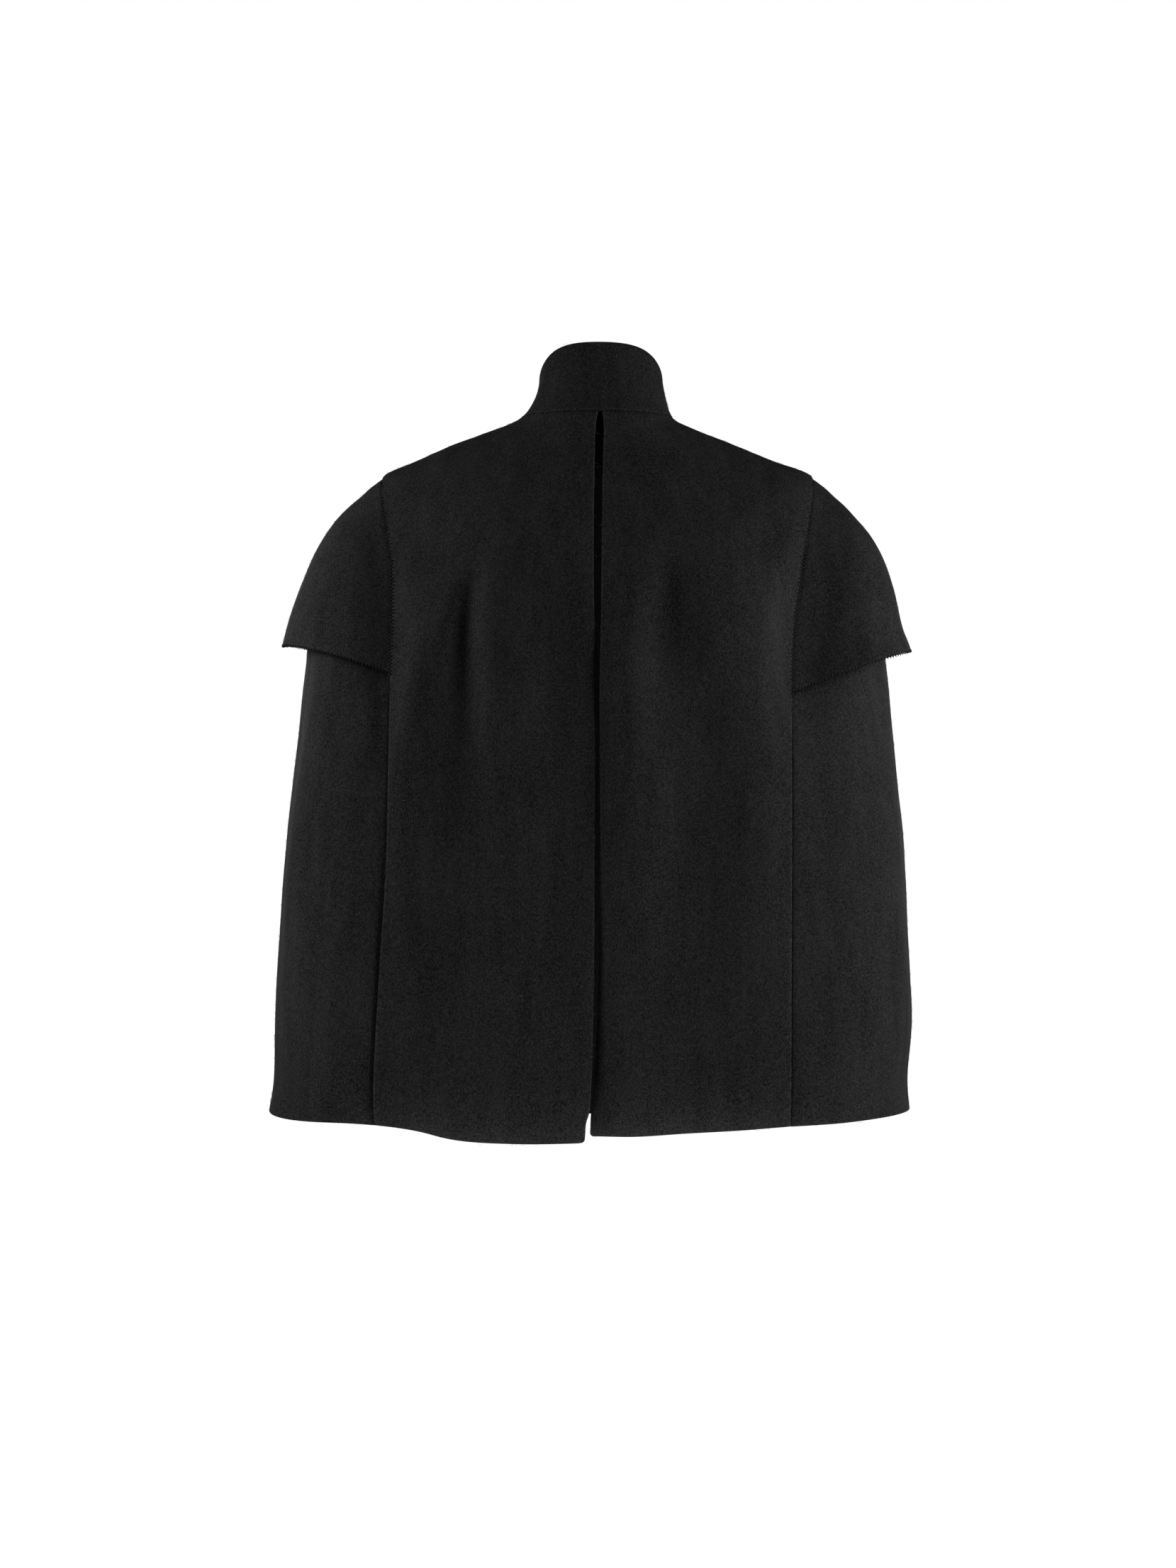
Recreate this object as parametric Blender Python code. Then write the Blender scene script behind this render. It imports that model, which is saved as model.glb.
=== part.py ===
"""Wool cape with a stand collar, an open centre-back slit and short cap sleeves, filled out as worn.

Sizes are in metres. +Z is up, +Y is the wearer's front and +X the wearer's right-hand side.
The origin is the middle of the neck, level with the collar seam at the centre back.

Every cloth piece lies on one cape surface. A place on it is a side (left or right), a turn
(-90 degrees at the centre back, 0 at the side, 90 at the centre front) and a ring number, counted
down from the neck seam to the hem.
"""

import math
from collections import namedtuple

import bmesh
import bpy
import numpy as np

# Driving sizes
CLOTH = 0.0025
COLLAR_CLOTH = 0.0035
SEAM_GAP = 0.0003
COLLAR_GAP = 0.0006
FRONT_LAP = 0.0120
LAP_GAP = 0.0008
LAP_RUN = 0.0350
SLEEVE_RECESS = 0.0020
SLEEVE_FLARE = 0.0240
SLEEVE_FLARE_SHARE = 0.75
SLEEVE_FLARE_POWER = 1.4
SLEEVE_HEM_POWER = 4.0
UNDERLAP_GAP = 0.0008
SADDLE_POWER = 3.0
FLAT_SHOULDER = 0.8
SLIT_ROLL = 0.0095
SLIT_ROLL_WIDTH = 0.024
SLIT_ROLL_FROM = 8.5
SLIT_ROLL_FULL = 14.0

LEFT, RIGHT = -1, 1
BACK, FRONT = -1, 1

# The cape's rings, from the neck seam to the hem: half widths to each side, depths to the back and
# front, the heights of those points, how far out the sleeve and side seams lie, and how flat each
# side hangs (0 is an ellipse).
Ring = namedtuple(
    "Ring",
    "left right side_z back back_z front front_z seam_left seam_right seam_front flat_left flat_right",
)
RINGS = (
    Ring(0.0728, 0.0720, 0.0000, 0.0600, 0.0000, 0.0660, -0.0360, 0.0728, 0.0720, 0.0720, 0.00, 0.00),
    Ring(0.0868, 0.0830, -0.0080, 0.0690, -0.0220, 0.0790, -0.0550, 0.0868, 0.0830, 0.0845, 0.02, 0.02),
    Ring(0.1412, 0.1332, -0.0280, 0.0880, -0.0700, 0.1070, -0.0980, 0.1412, 0.1332, 0.1370, 0.06, 0.06),
    Ring(0.1760, 0.1710, -0.0435, 0.0990, -0.1020, 0.1220, -0.1320, 0.1760, 0.1710, 0.1735, 0.09, 0.09),
    Ring(0.2070, 0.2070, -0.0570, 0.1070, -0.1310, 0.1330, -0.1580, 0.2070, 0.2070, 0.2070, 0.11, 0.11),
    Ring(0.2318, 0.2312, -0.0800, 0.1130, -0.1580, 0.1400, -0.1840, 0.2050, 0.2030, 0.2040, 0.13, 0.10),
    Ring(0.2522, 0.2493, -0.1050, 0.1180, -0.1840, 0.1450, -0.2080, 0.1990, 0.1970, 0.1990, 0.16, 0.08),
    Ring(0.2654, 0.2650, -0.1350, 0.1220, -0.2100, 0.1485, -0.2320, 0.1969, 0.1930, 0.1955, 0.20, 0.06),
    Ring(0.2748, 0.2724, -0.1700, 0.1265, -0.2380, 0.1510, -0.2570, 0.1957, 0.1895, 0.1930, 0.25, 0.04),
    Ring(0.2813, 0.2755, -0.2080, 0.1305, -0.2660, 0.1530, -0.2820, 0.1951, 0.1870, 0.1915, 0.30, 0.02),
    Ring(0.2834, 0.2810, -0.2450, 0.1345, -0.2940, 0.1550, -0.3080, 0.1950, 0.1840, 0.1900, 0.34, 0.04),
    Ring(0.2926, 0.2887, -0.3300, 0.1455, -0.3600, 0.1600, -0.3660, 0.1942, 0.1812, 0.1890, 0.40, 0.18),
    Ring(0.3018, 0.2967, -0.4150, 0.1570, -0.4330, 0.1660, -0.4370, 0.1949, 0.1792, 0.1900, 0.44, 0.40),
    Ring(0.3079, 0.3001, -0.5000, 0.1680, -0.5100, 0.1720, -0.5130, 0.1996, 0.1779, 0.1920, 0.45, 0.50),
    Ring(0.3120, 0.3036, -0.5800, 0.1785, -0.5860, 0.1775, -0.5880, 0.2039, 0.1771, 0.1950, 0.45, 0.52),
    Ring(0.3132, 0.2993, -0.6400, 0.1860, -0.6400, 0.1818, -0.6400, 0.2060, 0.1767, 0.1970, 0.45, 0.52),
    Ring(0.3180, 0.3015, -0.6730, 0.1900, -0.6730, 0.1840, -0.6730, 0.2067, 0.1766, 0.1980, 0.45, 0.52),
)
SHOULDER_RING = 4
HEM_RING = len(RINGS) - 1
HEM_SHAPED_FROM = 13.0
HEM_BLEND = math.radians(20.0)
SLEEVE_TOP = SHOULDER_RING + 0.03
SLEEVE_HEM_SIDE = {LEFT: 9.52, RIGHT: 9.74}
SLEEVE_HEM_CORNER = {LEFT: 9.28, RIGHT: 9.80}
SLEEVE_WING = {LEFT: 0.0, RIGHT: 0.018}
SLEEVE_WING_BEND = 0.43
SLEEVE_WING_FULL = 7.0
SLEEVE_HEM_BEND = {LEFT: 1.6, RIGHT: 1.3}
SLEEVE_HEM_FRONT_RISE = 0.8
SLEEVE_HEM_TURN = {LEFT: 0.35, RIGHT: 0.0}
SLEEVE_HEM_TURN_RUN = 0.65
SLEEVE_HEM_TURN_SHARES = (0.2, 0.55)
SLEEVE_LAST_ROW = 0.25
SIDE_PANEL_TOP = 8.0
UNDERLAP_RUN = 1.0
UNDERLAP_SHARES = (0.05, 0.5)

# The centre-back slit's two edges across X, against the ring number.
Slit = namedtuple("Slit", "ring left right")
SLIT = (
    Slit(0.0, 0.0013, 0.0034),
    Slit(0.6, -0.0013, 0.0054),
    Slit(2.0, -0.0033, 0.0045),
    Slit(4.0, -0.0040, 0.0037),
    Slit(7.0, -0.0033, 0.0023),
    Slit(9.0, -0.0026, 0.0010),
    Slit(12.0, -0.0032, 0.0012),
    Slit(13.0, -0.0036, 0.0004),
    Slit(14.0, -0.0049, -0.0022),
    Slit(14.8, -0.0066, -0.0050),
    Slit(15.15, -0.0078, -0.0064),
    Slit(15.4, -0.0110, -0.0074),
    Slit(15.7, -0.0118, -0.0076),
    Slit(16.0, -0.0122, -0.0076),
)

# How far the hem hangs below its last ring, against the distance across from the centre.
Hem = namedtuple("Hem", "across back_left back_right front")
HEM = (
    Hem(0.000, 0.0112, 0.0056, 0.0250),
    Hem(0.030, 0.0124, 0.0061, 0.0245),
    Hem(0.080, 0.0127, 0.0031, 0.0220),
    Hem(0.137, 0.0083, -0.0002, 0.0165),
    Hem(0.165, 0.0016, -0.0024, 0.0135),
    Hem(0.220, -0.0043, -0.0050, 0.0080),
    Hem(0.270, -0.0038, -0.0070, 0.0040),
    Hem(0.320, -0.0014, -0.0045, 0.0005),
)

# Soft flutes: the crest's turn at its top and low end, the rings where it starts, is highest and
# ends, its width in degrees towards the centre and towards the side, the share of that width at its
# top, and its height (below zero for a trough).
Fold = namedtuple("Fold", "side turn_top turn_low top peak low inner outer narrow height")
FOLD_BEND = 0.35
FOLDS = (
    Fold(LEFT, -56.0, -74.0, 2.6, 7.2, 14.6, 18.0, 10.0, 0.7, 0.0150),
    Fold(LEFT, -58.5, -57.5, 3.2, 7.4, 11.0, 6.0, 12.0, 1.0, 0.0100),
    Fold(LEFT, -55.0, -51.5, 7.8, 10.4, 13.6, 8.5, 10.0, 1.0, 0.0075),
    Fold(LEFT, -80.5, -80.5, 9.6, 11.0, 13.6, 4.0, 5.0, 1.0, 0.0014),
    Fold(LEFT, -33.0, -38.0, 2.6, 5.2, 8.8, 34.0, 20.0, 1.0, -0.0100),
    Fold(LEFT, -22.0, -26.0, 8.4, 11.0, 16.5, 13.0, 12.0, 1.0, 0.0070),
    Fold(LEFT, -37.0, -39.0, 9.4, 13.0, 19.0, 24.0, 14.0, 1.0, 0.0050),
    Fold(RIGHT, -72.0, -87.5, 2.8, 7.0, 11.0, 8.0, 11.0, 0.7, 0.0140),
    Fold(RIGHT, -83.0, -85.0, 6.6, 11.0, 16.0, 8.0, 12.0, 1.0, 0.0145),
    Fold(RIGHT, -72.0, -70.0, 6.6, 10.6, 15.0, 12.0, 8.0, 1.0, -0.0040),
    Fold(RIGHT, -63.0, -68.0, 4.0, 7.6, 10.4, 5.0, 5.0, 0.8, 0.0030),
    Fold(RIGHT, -64.0, -62.0, 2.6, 6.2, 9.6, 18.0, 20.0, 1.0, 0.0110),
    Fold(RIGHT, -59.0, -60.0, 5.4, 9.4, 16.0, 13.0, 10.0, 1.0, 0.0115),
    Fold(LEFT, 50.0, 55.0, 6.0, 10.4, 14.8, 9.0, 9.0, 1.0, 0.0045),
    Fold(LEFT, 70.0, 74.0, 5.6, 10.2, 14.8, 9.5, 9.5, 1.0, 0.0060),
    Fold(RIGHT, 68.0, 73.0, 5.6, 10.2, 14.8, 9.5, 9.5, 1.0, 0.0060),
    Fold(RIGHT, 49.0, 53.0, 6.0, 10.4, 14.8, 9.0, 9.0, 1.0, 0.0045),
    Fold(LEFT, 16.0, 21.0, 10.0, 12.4, 14.9, 12.0, 12.0, 1.0, 0.0035),
    Fold(RIGHT, 18.0, 22.0, 10.2, 12.5, 14.9, 12.0, 12.0, 1.0, 0.0035),
)

# The soft valleys that the back seams lie in: the rings where one starts, is deepest and has eased,
# the share of its depth left below that, its width in degrees on the back panel and on the side
# panel, and its depth.
Valley = namedtuple("Valley", "top full eased share panel_turn side_turn depth")
SEAM_VALLEYS = {
    LEFT: Valley(4.6, 7.4, 11.8, 0.45, 8.0, 13.0, 0.0052),
    RIGHT: Valley(4.1, 8.0, 12.2, 0.20, 11.0, 26.0, 0.0120),
}

# How far the hem curls in at the back, and the ring where that starts
HEM_CURL = 0.0150
HEM_CURL_FROM = 14.6

# The collar's top edge: its height at the centre back, the sides and the centre front, with its
# slope there against the sine of the turn. Then its half widths and depths, and how quickly each
# side draws in from the neck seam.
Edge = namedtuple("Edge", "z slope")
COLLAR_EDGE = {"back": Edge(0.0656, -0.007), "side": Edge(0.036, -0.032), "front": Edge(0.018, -0.004)}
COLLAR_TOP = {"left": 0.0568, "right": 0.0632, "back": 0.0520, "front": 0.0570}
COLLAR_DRAW_IN = {"left": 2.2, "right": 1.6, "depth": 1.9}

# Cells of each wall: across, and down in rows that all pieces share, so that their seams match
BACK_CELLS = 16
FRONT_CELLS = 12
SLEEVE_CELLS = 18
SIDE_CELLS = 18
COLLAR_CELLS = (44, 5)
YOKE_ROWS = 7
DROP_ROWS = 22
ROW_POWER = 1.45

WOOL = {"color": (0.012, 0.012, 0.0125, 1.0), "roughness": 0.92, "sheen": 0.35}
DIFFERENCE_TURN = math.radians(0.05)
DIFFERENCE_RING = 0.002
DIFFERENCE_COLLAR = 0.001
SHARP_EDGE = math.radians(40.0)


def smooth_step(low, high, value):
    """0 below low, 1 above high, and a soft rise between them."""
    share = np.clip((value - low) / (high - low), 0.0, 1.0)
    return share * share * (3.0 - 2.0 * share)


def smooth_rows(rows, position):
    """The rows' values at fractional row numbers, on smooth curves through the rows."""
    table = np.array(rows, float)
    last = len(table) - 1
    position = np.clip(position, 0.0, last)
    first = np.minimum(position.astype(int), last - 1)
    share = (position - first)[..., None]
    before, start, end, after = (table[np.clip(first + step, 0, last)] for step in (-1, 0, 1, 2))
    return 0.5 * (
        2.0 * start
        + (end - before) * share
        + (2.0 * before - 5.0 * start + 4.0 * end - after) * share**2
        + (3.0 * start - before - 3.0 * end + after) * share**3
    )


def column(rows, name):
    return np.array([getattr(row, name) for row in rows])


def ring_sizes(ring):
    """Each named size of the rings at fractional ring numbers."""
    return Ring(*np.moveaxis(smooth_rows(RINGS, ring), -1, 0))


def hem_drop(side, turn, across):
    """How far the hem hangs below its ring at a distance across from the centre."""
    back = column(HEM, "back_left" if side == LEFT else "back_right")
    places = column(HEM, "across")
    across = np.abs(across)
    behind = np.interp(across, places, back)
    before = np.interp(across, places, column(HEM, "front"))
    return behind + (before - behind) * smooth_step(-HEM_BLEND, HEM_BLEND, turn)


def fold_lift(side, turn, ring):
    """How far the soft flutes stand out at a place on the cape."""
    lift = np.zeros_like(turn)
    for fold in FOLDS:
        if fold.side != side:
            continue
        run = np.clip((ring - fold.top) / (fold.low - fold.top), 0.0, 1.0)
        crest = fold.turn_top + (fold.turn_low - fold.turn_top) * run**FOLD_BEND
        out = np.abs(crest) - np.abs(np.degrees(turn))
        width = np.where(out < 0.0, fold.inner, fold.outer) * (fold.narrow + (1.0 - fold.narrow) * run)
        away = np.clip(out / width, -1.0, 1.0)
        along = smooth_step(fold.top, fold.peak, ring) * (1.0 - smooth_step(fold.peak, fold.low, ring))
        lift += fold.height * np.cos(away * math.pi / 2.0) ** 2 * along
    valley = SEAM_VALLEYS[side]
    away = np.degrees(turn - seam_turn(side, BACK, ring, 0.0))
    away = np.clip(away / np.where(away < 0.0, valley.panel_turn, valley.side_turn), -1.0, 1.0)
    eased = 1.0 - (1.0 - valley.share) * smooth_step(valley.full, valley.eased, ring)
    depth = valley.depth * smooth_step(valley.top, valley.full, ring) * eased
    lift -= depth * np.cos(away * math.pi / 2.0) ** 2
    behind = np.clip(-np.sin(turn), 0.0, 1.0) ** 2
    curl = np.clip((ring - HEM_CURL_FROM) / (HEM_RING - HEM_CURL_FROM), 0.0, 1.0) ** 2
    return lift - HEM_CURL * behind * curl


def cape_point(side, turn, ring):
    """A point of the smooth cape, without its folds."""
    sizes = ring_sizes(ring)
    half = sizes.right if side == RIGHT else sizes.left
    depth = np.where(turn < 0.0, sizes.back, sizes.front)
    centre_z = np.where(turn < 0.0, sizes.back_z, sizes.front_z)
    x = side * half * np.cos(turn)
    to_side = np.cos(turn) ** 2
    flat = sizes.flat_right if side == RIGHT else sizes.flat_left
    y = depth * np.sin(turn) * (1.0 + flat * to_side * (1.0 + FLAT_SHOULDER * to_side))
    z = centre_z + (sizes.side_z - centre_z) * np.abs(np.cos(turn)) ** SADDLE_POWER
    z = z - hem_drop(side, turn, x) * smooth_step(HEM_SHAPED_FROM, HEM_RING, ring)
    return np.stack([x, y, z], axis=-1)


def normals(surface, side, turn, ring):
    """Outward unit normals of a surface given by turn and ring."""
    low = np.clip(ring - DIFFERENCE_RING, 0.0, HEM_RING)
    high = np.clip(ring + DIFFERENCE_RING, 0.0, HEM_RING)
    down = surface(turn, high) - surface(turn, low)
    round_it = surface(turn + DIFFERENCE_TURN, ring) - surface(turn - DIFFERENCE_TURN, ring)
    found = side * np.cross(down, round_it)
    return found / np.linalg.norm(found, axis=-1, keepdims=True)


def not_moved(turn, ring):
    return np.zeros_like(turn)


def cloth_surface(side, lift, set_back):
    """The outer face of one piece: the cape with its folds, set back and moved out as the piece is."""

    def smooth(turn, ring):
        points = cape_point(side, turn, ring)
        points[..., 1] -= set_back(turn, ring)
        return points

    def surface(turn, ring):
        out = fold_lift(side, turn, ring) + lift(turn, ring)
        return smooth(turn, ring) + normals(smooth, side, turn, ring) * out[..., None]

    return surface


def seam_turn(side, face, ring, gap):
    """The turn of the shoulder seam, and below the shoulder of the sleeve and side seam."""
    sizes = ring_sizes(ring)
    half = sizes.right if side == RIGHT else sizes.left
    back_seam = sizes.seam_right if side == RIGHT else sizes.seam_left
    seam = (back_seam if face == BACK else sizes.seam_front) + gap
    turned = np.arccos(np.clip(seam / half, -1.0, 1.0))
    return face * np.where(ring > SHOULDER_RING, turned, 0.0)


def edge_turn(side, face, ring):
    """The turn of a panel's free edge at the centre-back slit, or past the centre front."""
    sizes = ring_sizes(ring)
    half = sizes.right if side == RIGHT else sizes.left
    if face == BACK:
        edge = np.interp(ring, column(SLIT, "ring"), column(SLIT, "right" if side == RIGHT else "left"))
    else:
        edge = -side * FRONT_LAP
    return face * np.arccos(np.clip(side * edge / half, -1.0, 1.0))


def under_lap(from_centre, thickness):
    """How far in the left front lies, where the right one laps over it across the centre."""
    return (thickness + LAP_GAP) * (1.0 - smooth_step(FRONT_LAP, FRONT_LAP + LAP_RUN, from_centre))


def wall_object(name, outer, normal, thickness, material):
    """A closed wall from a grid of outer points, with its inner face one thickness in."""
    faces_of_wall = (outer, outer - normal * thickness)
    mesh = bmesh.new()
    skins = [[[mesh.verts.new(p) for p in row] for row in face] for face in faces_of_wall]
    rows, columns = outer.shape[:2]
    for grid in skins:
        for r in range(rows - 1):
            for c in range(columns - 1):
                mesh.faces.new((grid[r][c], grid[r][c + 1], grid[r + 1][c + 1], grid[r + 1][c]))
    rim = [(0, c) for c in range(columns - 1)]
    rim += [(r, columns - 1) for r in range(rows - 1)]
    rim += [(rows - 1, c) for c in range(columns - 1, 0, -1)]
    rim += [(r, 0) for r in range(rows - 1, 0, -1)]
    out, inside = skins
    for (r, c), (next_r, next_c) in zip(rim, rim[1:] + rim[:1]):
        mesh.faces.new((out[r][c], out[next_r][next_c], inside[next_r][next_c], inside[r][c]))
    bmesh.ops.recalc_face_normals(mesh, faces=mesh.faces)
    data = bpy.data.meshes.new(name)
    mesh.to_mesh(data)
    mesh.free()
    data.shade_smooth()
    data.set_sharp_from_angle(angle=SHARP_EDGE)
    data.materials.append(material)
    wall = bpy.data.objects.new(name, data)
    bpy.context.scene.collection.objects.link(wall)
    return wall


def wall_on_cape(name, side, turn, ring, lift, material, set_back=not_moved):
    surface = cloth_surface(side, lift, set_back)
    return wall_object(name, surface(turn, ring), normals(surface, side, turn, ring), CLOTH, material)


def shared_rings():
    """Ring numbers of the rows, closest together at the shoulder."""
    over = (np.arange(YOKE_ROWS, -1, -1) / YOKE_ROWS) ** ROW_POWER
    under = (np.arange(1, DROP_ROWS + 1) / DROP_ROWS) ** ROW_POWER
    over = SHOULDER_RING - SHOULDER_RING * over
    under = SHOULDER_RING + (HEM_RING - SHOULDER_RING) * under
    return np.concatenate([over, [SLEEVE_TOP], under])


def panel(name, side, face, cells, material):
    """A back or front panel, from the neck seam over the shoulder to the hem."""
    across = np.linspace(0.0, 1.0, cells + 1)[None, :]
    ring = shared_rings()[:, None]
    start = edge_turn(side, face, ring)
    shoulder = face * SEAM_GAP / 2.0 / ring_sizes(ring).back
    end = np.where(ring > SHOULDER_RING, seam_turn(side, face, ring, -SEAM_GAP / 2.0), shoulder)
    turn = start + (end - start) * across
    ring = np.broadcast_to(ring, turn.shape)

    def edge_lift(turn, ring):
        """The right back panel turns in along the lower slit, and the left front under its lap."""
        if (side, face) == (RIGHT, BACK):
            away = (turn - edge_turn(side, face, ring)) * ring_sizes(ring).right
            low = smooth_step(SLIT_ROLL_FROM, SLIT_ROLL_FULL, ring)
            return -SLIT_ROLL * low * np.clip(1.0 - away / SLIT_ROLL_WIDTH, 0.0, 1.0) ** 2
        if (side, face) == (LEFT, FRONT):
            return -under_lap(ring_sizes(ring).left * np.cos(turn), CLOTH)
        return np.zeros_like(turn)

    return wall_on_cape(name, side, turn, ring, edge_lift, material)


def sleeve_seams(side, ring):
    """The turns of the back and front seams that a cap sleeve and a side panel are sewn along."""
    return tuple(seam_turn(side, face, ring, SEAM_GAP / 2.0) for face in (BACK, FRONT))


def from_side_line(turn, seams):
    """0 at the side, and -1 and 1 at the back and front seams."""
    behind, before = seams
    return np.where(turn < 0.0, -turn / behind, turn / before)


def turns_between(across, seams):
    """Turns from the back seam, at across -1, over the side to the front seam, at 1."""
    behind, before = seams
    return np.where(across < 0.0, -across * behind, across * before)


def sleeve_hem(side, across):
    """The ring number of a cap sleeve's hem: across is -1 at the back seam and 1 at the front one."""
    away = np.abs(across)
    to_corner = (SLEEVE_HEM_CORNER[side] - SLEEVE_HEM_SIDE[side]) * away
    behind = to_corner - SLEEVE_HEM_BEND[side] * away**4 * (1.0 - away)
    return SLEEVE_HEM_SIDE[side] + np.where(across < 0.0, behind, -SLEEVE_HEM_FRONT_RISE * away)


def hem_turned(side, across, ring):
    """The share of a cap sleeve's flare lost where its hem turns in behind."""
    near = np.clip((ring - sleeve_hem(side, across)) / SLEEVE_HEM_TURN_RUN + 1.0, 0.0, 1.0)
    return SLEEVE_HEM_TURN[side] * smooth_step(*SLEEVE_HEM_TURN_SHARES, -across) * near**2


def cap_sleeve(name, side, material):
    """The short cap sleeve, sewn to the back and front panels and flaring over the side panel."""
    across = np.linspace(-1.0, 1.0, SLEEVE_CELLS + 1)[None, :]
    rows = shared_rings()
    rows = rows[(rows >= SLEEVE_TOP) & (rows < SLEEVE_HEM_SIDE[side] - SLEEVE_LAST_ROW)]
    rows = np.append(rows, SLEEVE_HEM_SIDE[side])[:, None]
    down = (rows - SLEEVE_TOP) / (SLEEVE_HEM_SIDE[side] - SLEEVE_TOP)
    ring = rows + (sleeve_hem(side, across) - SLEEVE_HEM_SIDE[side]) * down**SLEEVE_HEM_POWER

    def flare(turn, ring):
        across = from_side_line(turn, sleeve_seams(side, np.maximum(ring, SLEEVE_TOP)))
        middle = smooth_step(0.0, SLEEVE_FLARE_SHARE, 1.0 - np.abs(across))
        down = np.clip((ring - SHOULDER_RING) / (SLEEVE_HEM_SIDE[side] - SHOULDER_RING), 0.0, 1.0)
        out = middle * down**SLEEVE_FLARE_POWER * (1.0 - hem_turned(side, across, ring))
        return -SLEEVE_RECESS + (SLEEVE_FLARE + SLEEVE_RECESS) * out

    def wing(turn, ring):
        """How far back the cap sleeve stands, flat as a wing, between its back seam and the side."""
        behind = seam_turn(side, BACK, np.maximum(ring, SLEEVE_TOP), SEAM_GAP / 2.0)
        away = np.clip(turn / behind, 0.0, 1.0)
        full = smooth_step(SHOULDER_RING, SLEEVE_WING_FULL, ring)
        return SLEEVE_WING[side] * np.sin(math.pi * away**SLEEVE_WING_BEND) * full

    turn = turns_between(across, sleeve_seams(side, ring))
    return wall_on_cape(name, side, turn, ring, flare, material, wing)


def side_panel(name, side, material):
    """The lower side piece, whose top runs up under the cap sleeve and leaves the arm's way out."""
    across = np.linspace(-1.0, 1.0, SIDE_CELLS + 1)[None, :]
    ring = shared_rings()
    ring = ring[ring >= SIDE_PANEL_TOP][:, None]
    turn = turns_between(across, sleeve_seams(side, ring))
    ring = np.broadcast_to(ring, turn.shape)

    def underlap(turn, ring):
        across = from_side_line(turn, sleeve_seams(side, ring))
        by_seam = 1.0 - smooth_step(*UNDERLAP_SHARES, 1.0 - np.abs(across))
        hem = sleeve_hem(side, across)
        under = 1.0 - smooth_step(hem, hem + UNDERLAP_RUN, ring)
        return -(SLEEVE_RECESS + CLOTH + UNDERLAP_GAP) * by_seam * under

    return wall_on_cape(name, side, turn, ring, underlap, material)


def edge_height(start, end, share):
    """The height between two named places of the collar's edge, on a curve with their slopes."""
    left = share**2 * (3.0 - 2.0 * share)
    into = share * (1.0 - share) ** 2
    out_of = share**2 * (share - 1.0)
    return start.z + (end.z - start.z) * left + start.slope * into + end.slope * out_of


def collar_point(around, up):
    """A point on the collar's outer face: around is -1 and 1 at the centre front, 0 at the back.

    Past the centre front the two ends lap, as the fronts do.
    """
    side = np.where(around < 0.0, LEFT, RIGHT)
    turn = -math.pi / 2.0 + math.pi * np.abs(around)
    neck = RINGS[0]
    low_half = np.where(around < 0.0, neck.left, neck.right)
    top_half = np.where(around < 0.0, COLLAR_TOP["left"], COLLAR_TOP["right"])
    draw_in = np.where(around < 0.0, COLLAR_DRAW_IN["left"], COLLAR_DRAW_IN["right"])
    behind = turn < 0.0
    low_depth = np.where(behind, neck.back, neck.front)
    top_depth = np.where(behind, COLLAR_TOP["back"], COLLAR_TOP["front"])
    half = low_half + (top_half - low_half) * (1.0 - (1.0 - up) ** draw_in)
    depth = low_depth + (top_depth - low_depth) * (1.0 - (1.0 - up) ** COLLAR_DRAW_IN["depth"])
    x = side * half * np.cos(turn)
    y = depth * np.sin(turn)
    lapped = np.where(~behind & (around < 0.0), under_lap(half * np.cos(turn), COLLAR_CLOTH), 0.0)
    y = y - lapped
    to_side = np.abs(np.cos(turn))
    centre_z = np.where(behind, neck.back_z, neck.front_z)
    seam_z = centre_z + (neck.side_z - centre_z) * to_side**SADDLE_POWER
    forward = np.sin(turn)
    behind_z = edge_height(COLLAR_EDGE["back"], COLLAR_EDGE["side"], np.clip(1.0 + forward, 0.0, 1.0))
    before_z = edge_height(COLLAR_EDGE["side"], COLLAR_EDGE["front"], np.clip(forward, 0.0, 1.0))
    low_z = seam_z + COLLAR_GAP
    return np.stack([x, y, low_z + (np.where(behind, behind_z, before_z) - low_z) * up], axis=-1)


def collar(name, material):
    """The stand collar, one band round the neck that laps over itself at the centre front."""
    reach = 1.0 + FRONT_LAP / (math.pi * RINGS[0].left)
    around = np.linspace(-reach, reach, COLLAR_CELLS[0] + 1)[None, :]
    up = np.linspace(0.0, 1.0, COLLAR_CELLS[1] + 1)[:, None]
    around, up = np.broadcast_arrays(around, up)
    step = DIFFERENCE_COLLAR
    high, low = np.minimum(up + step, 1.0), np.maximum(up - step, 0.0)
    rising = collar_point(around, high) - collar_point(around, low)
    round_it = collar_point(around + step, up) - collar_point(around - step, up)
    normal = np.cross(round_it, rising)
    normal /= np.linalg.norm(normal, axis=-1, keepdims=True)
    return wall_object(name, collar_point(around, up), normal, COLLAR_CLOTH, material)


def wool(name):
    """Black felted wool cloth, matt with a faint nap."""
    material = bpy.data.materials.new(name)
    material.use_nodes = True
    shader = material.node_tree.nodes["Principled BSDF"]
    shader.inputs["Base Color"].default_value = WOOL["color"]
    shader.inputs["Roughness"].default_value = WOOL["roughness"]
    shader.inputs["Metallic"].default_value = 0.0
    shader.inputs["Sheen Weight"].default_value = WOOL["sheen"]
    return material


def build():
    for obj in list(bpy.data.objects):
        bpy.data.objects.remove(obj)
    for side, word in ((LEFT, "left"), (RIGHT, "right")):
        panel(f"back_{word}", side, BACK, BACK_CELLS, wool(f"back_{word}_wool"))
        panel(f"front_{word}", side, FRONT, FRONT_CELLS, wool(f"front_{word}_wool"))
        cap_sleeve(f"cap_sleeve_{word}", side, wool(f"cap_sleeve_{word}_wool"))
        side_panel(f"side_{word}", side, wool(f"side_{word}_wool"))
    collar("collar", wool("collar_wool"))


build()
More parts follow.
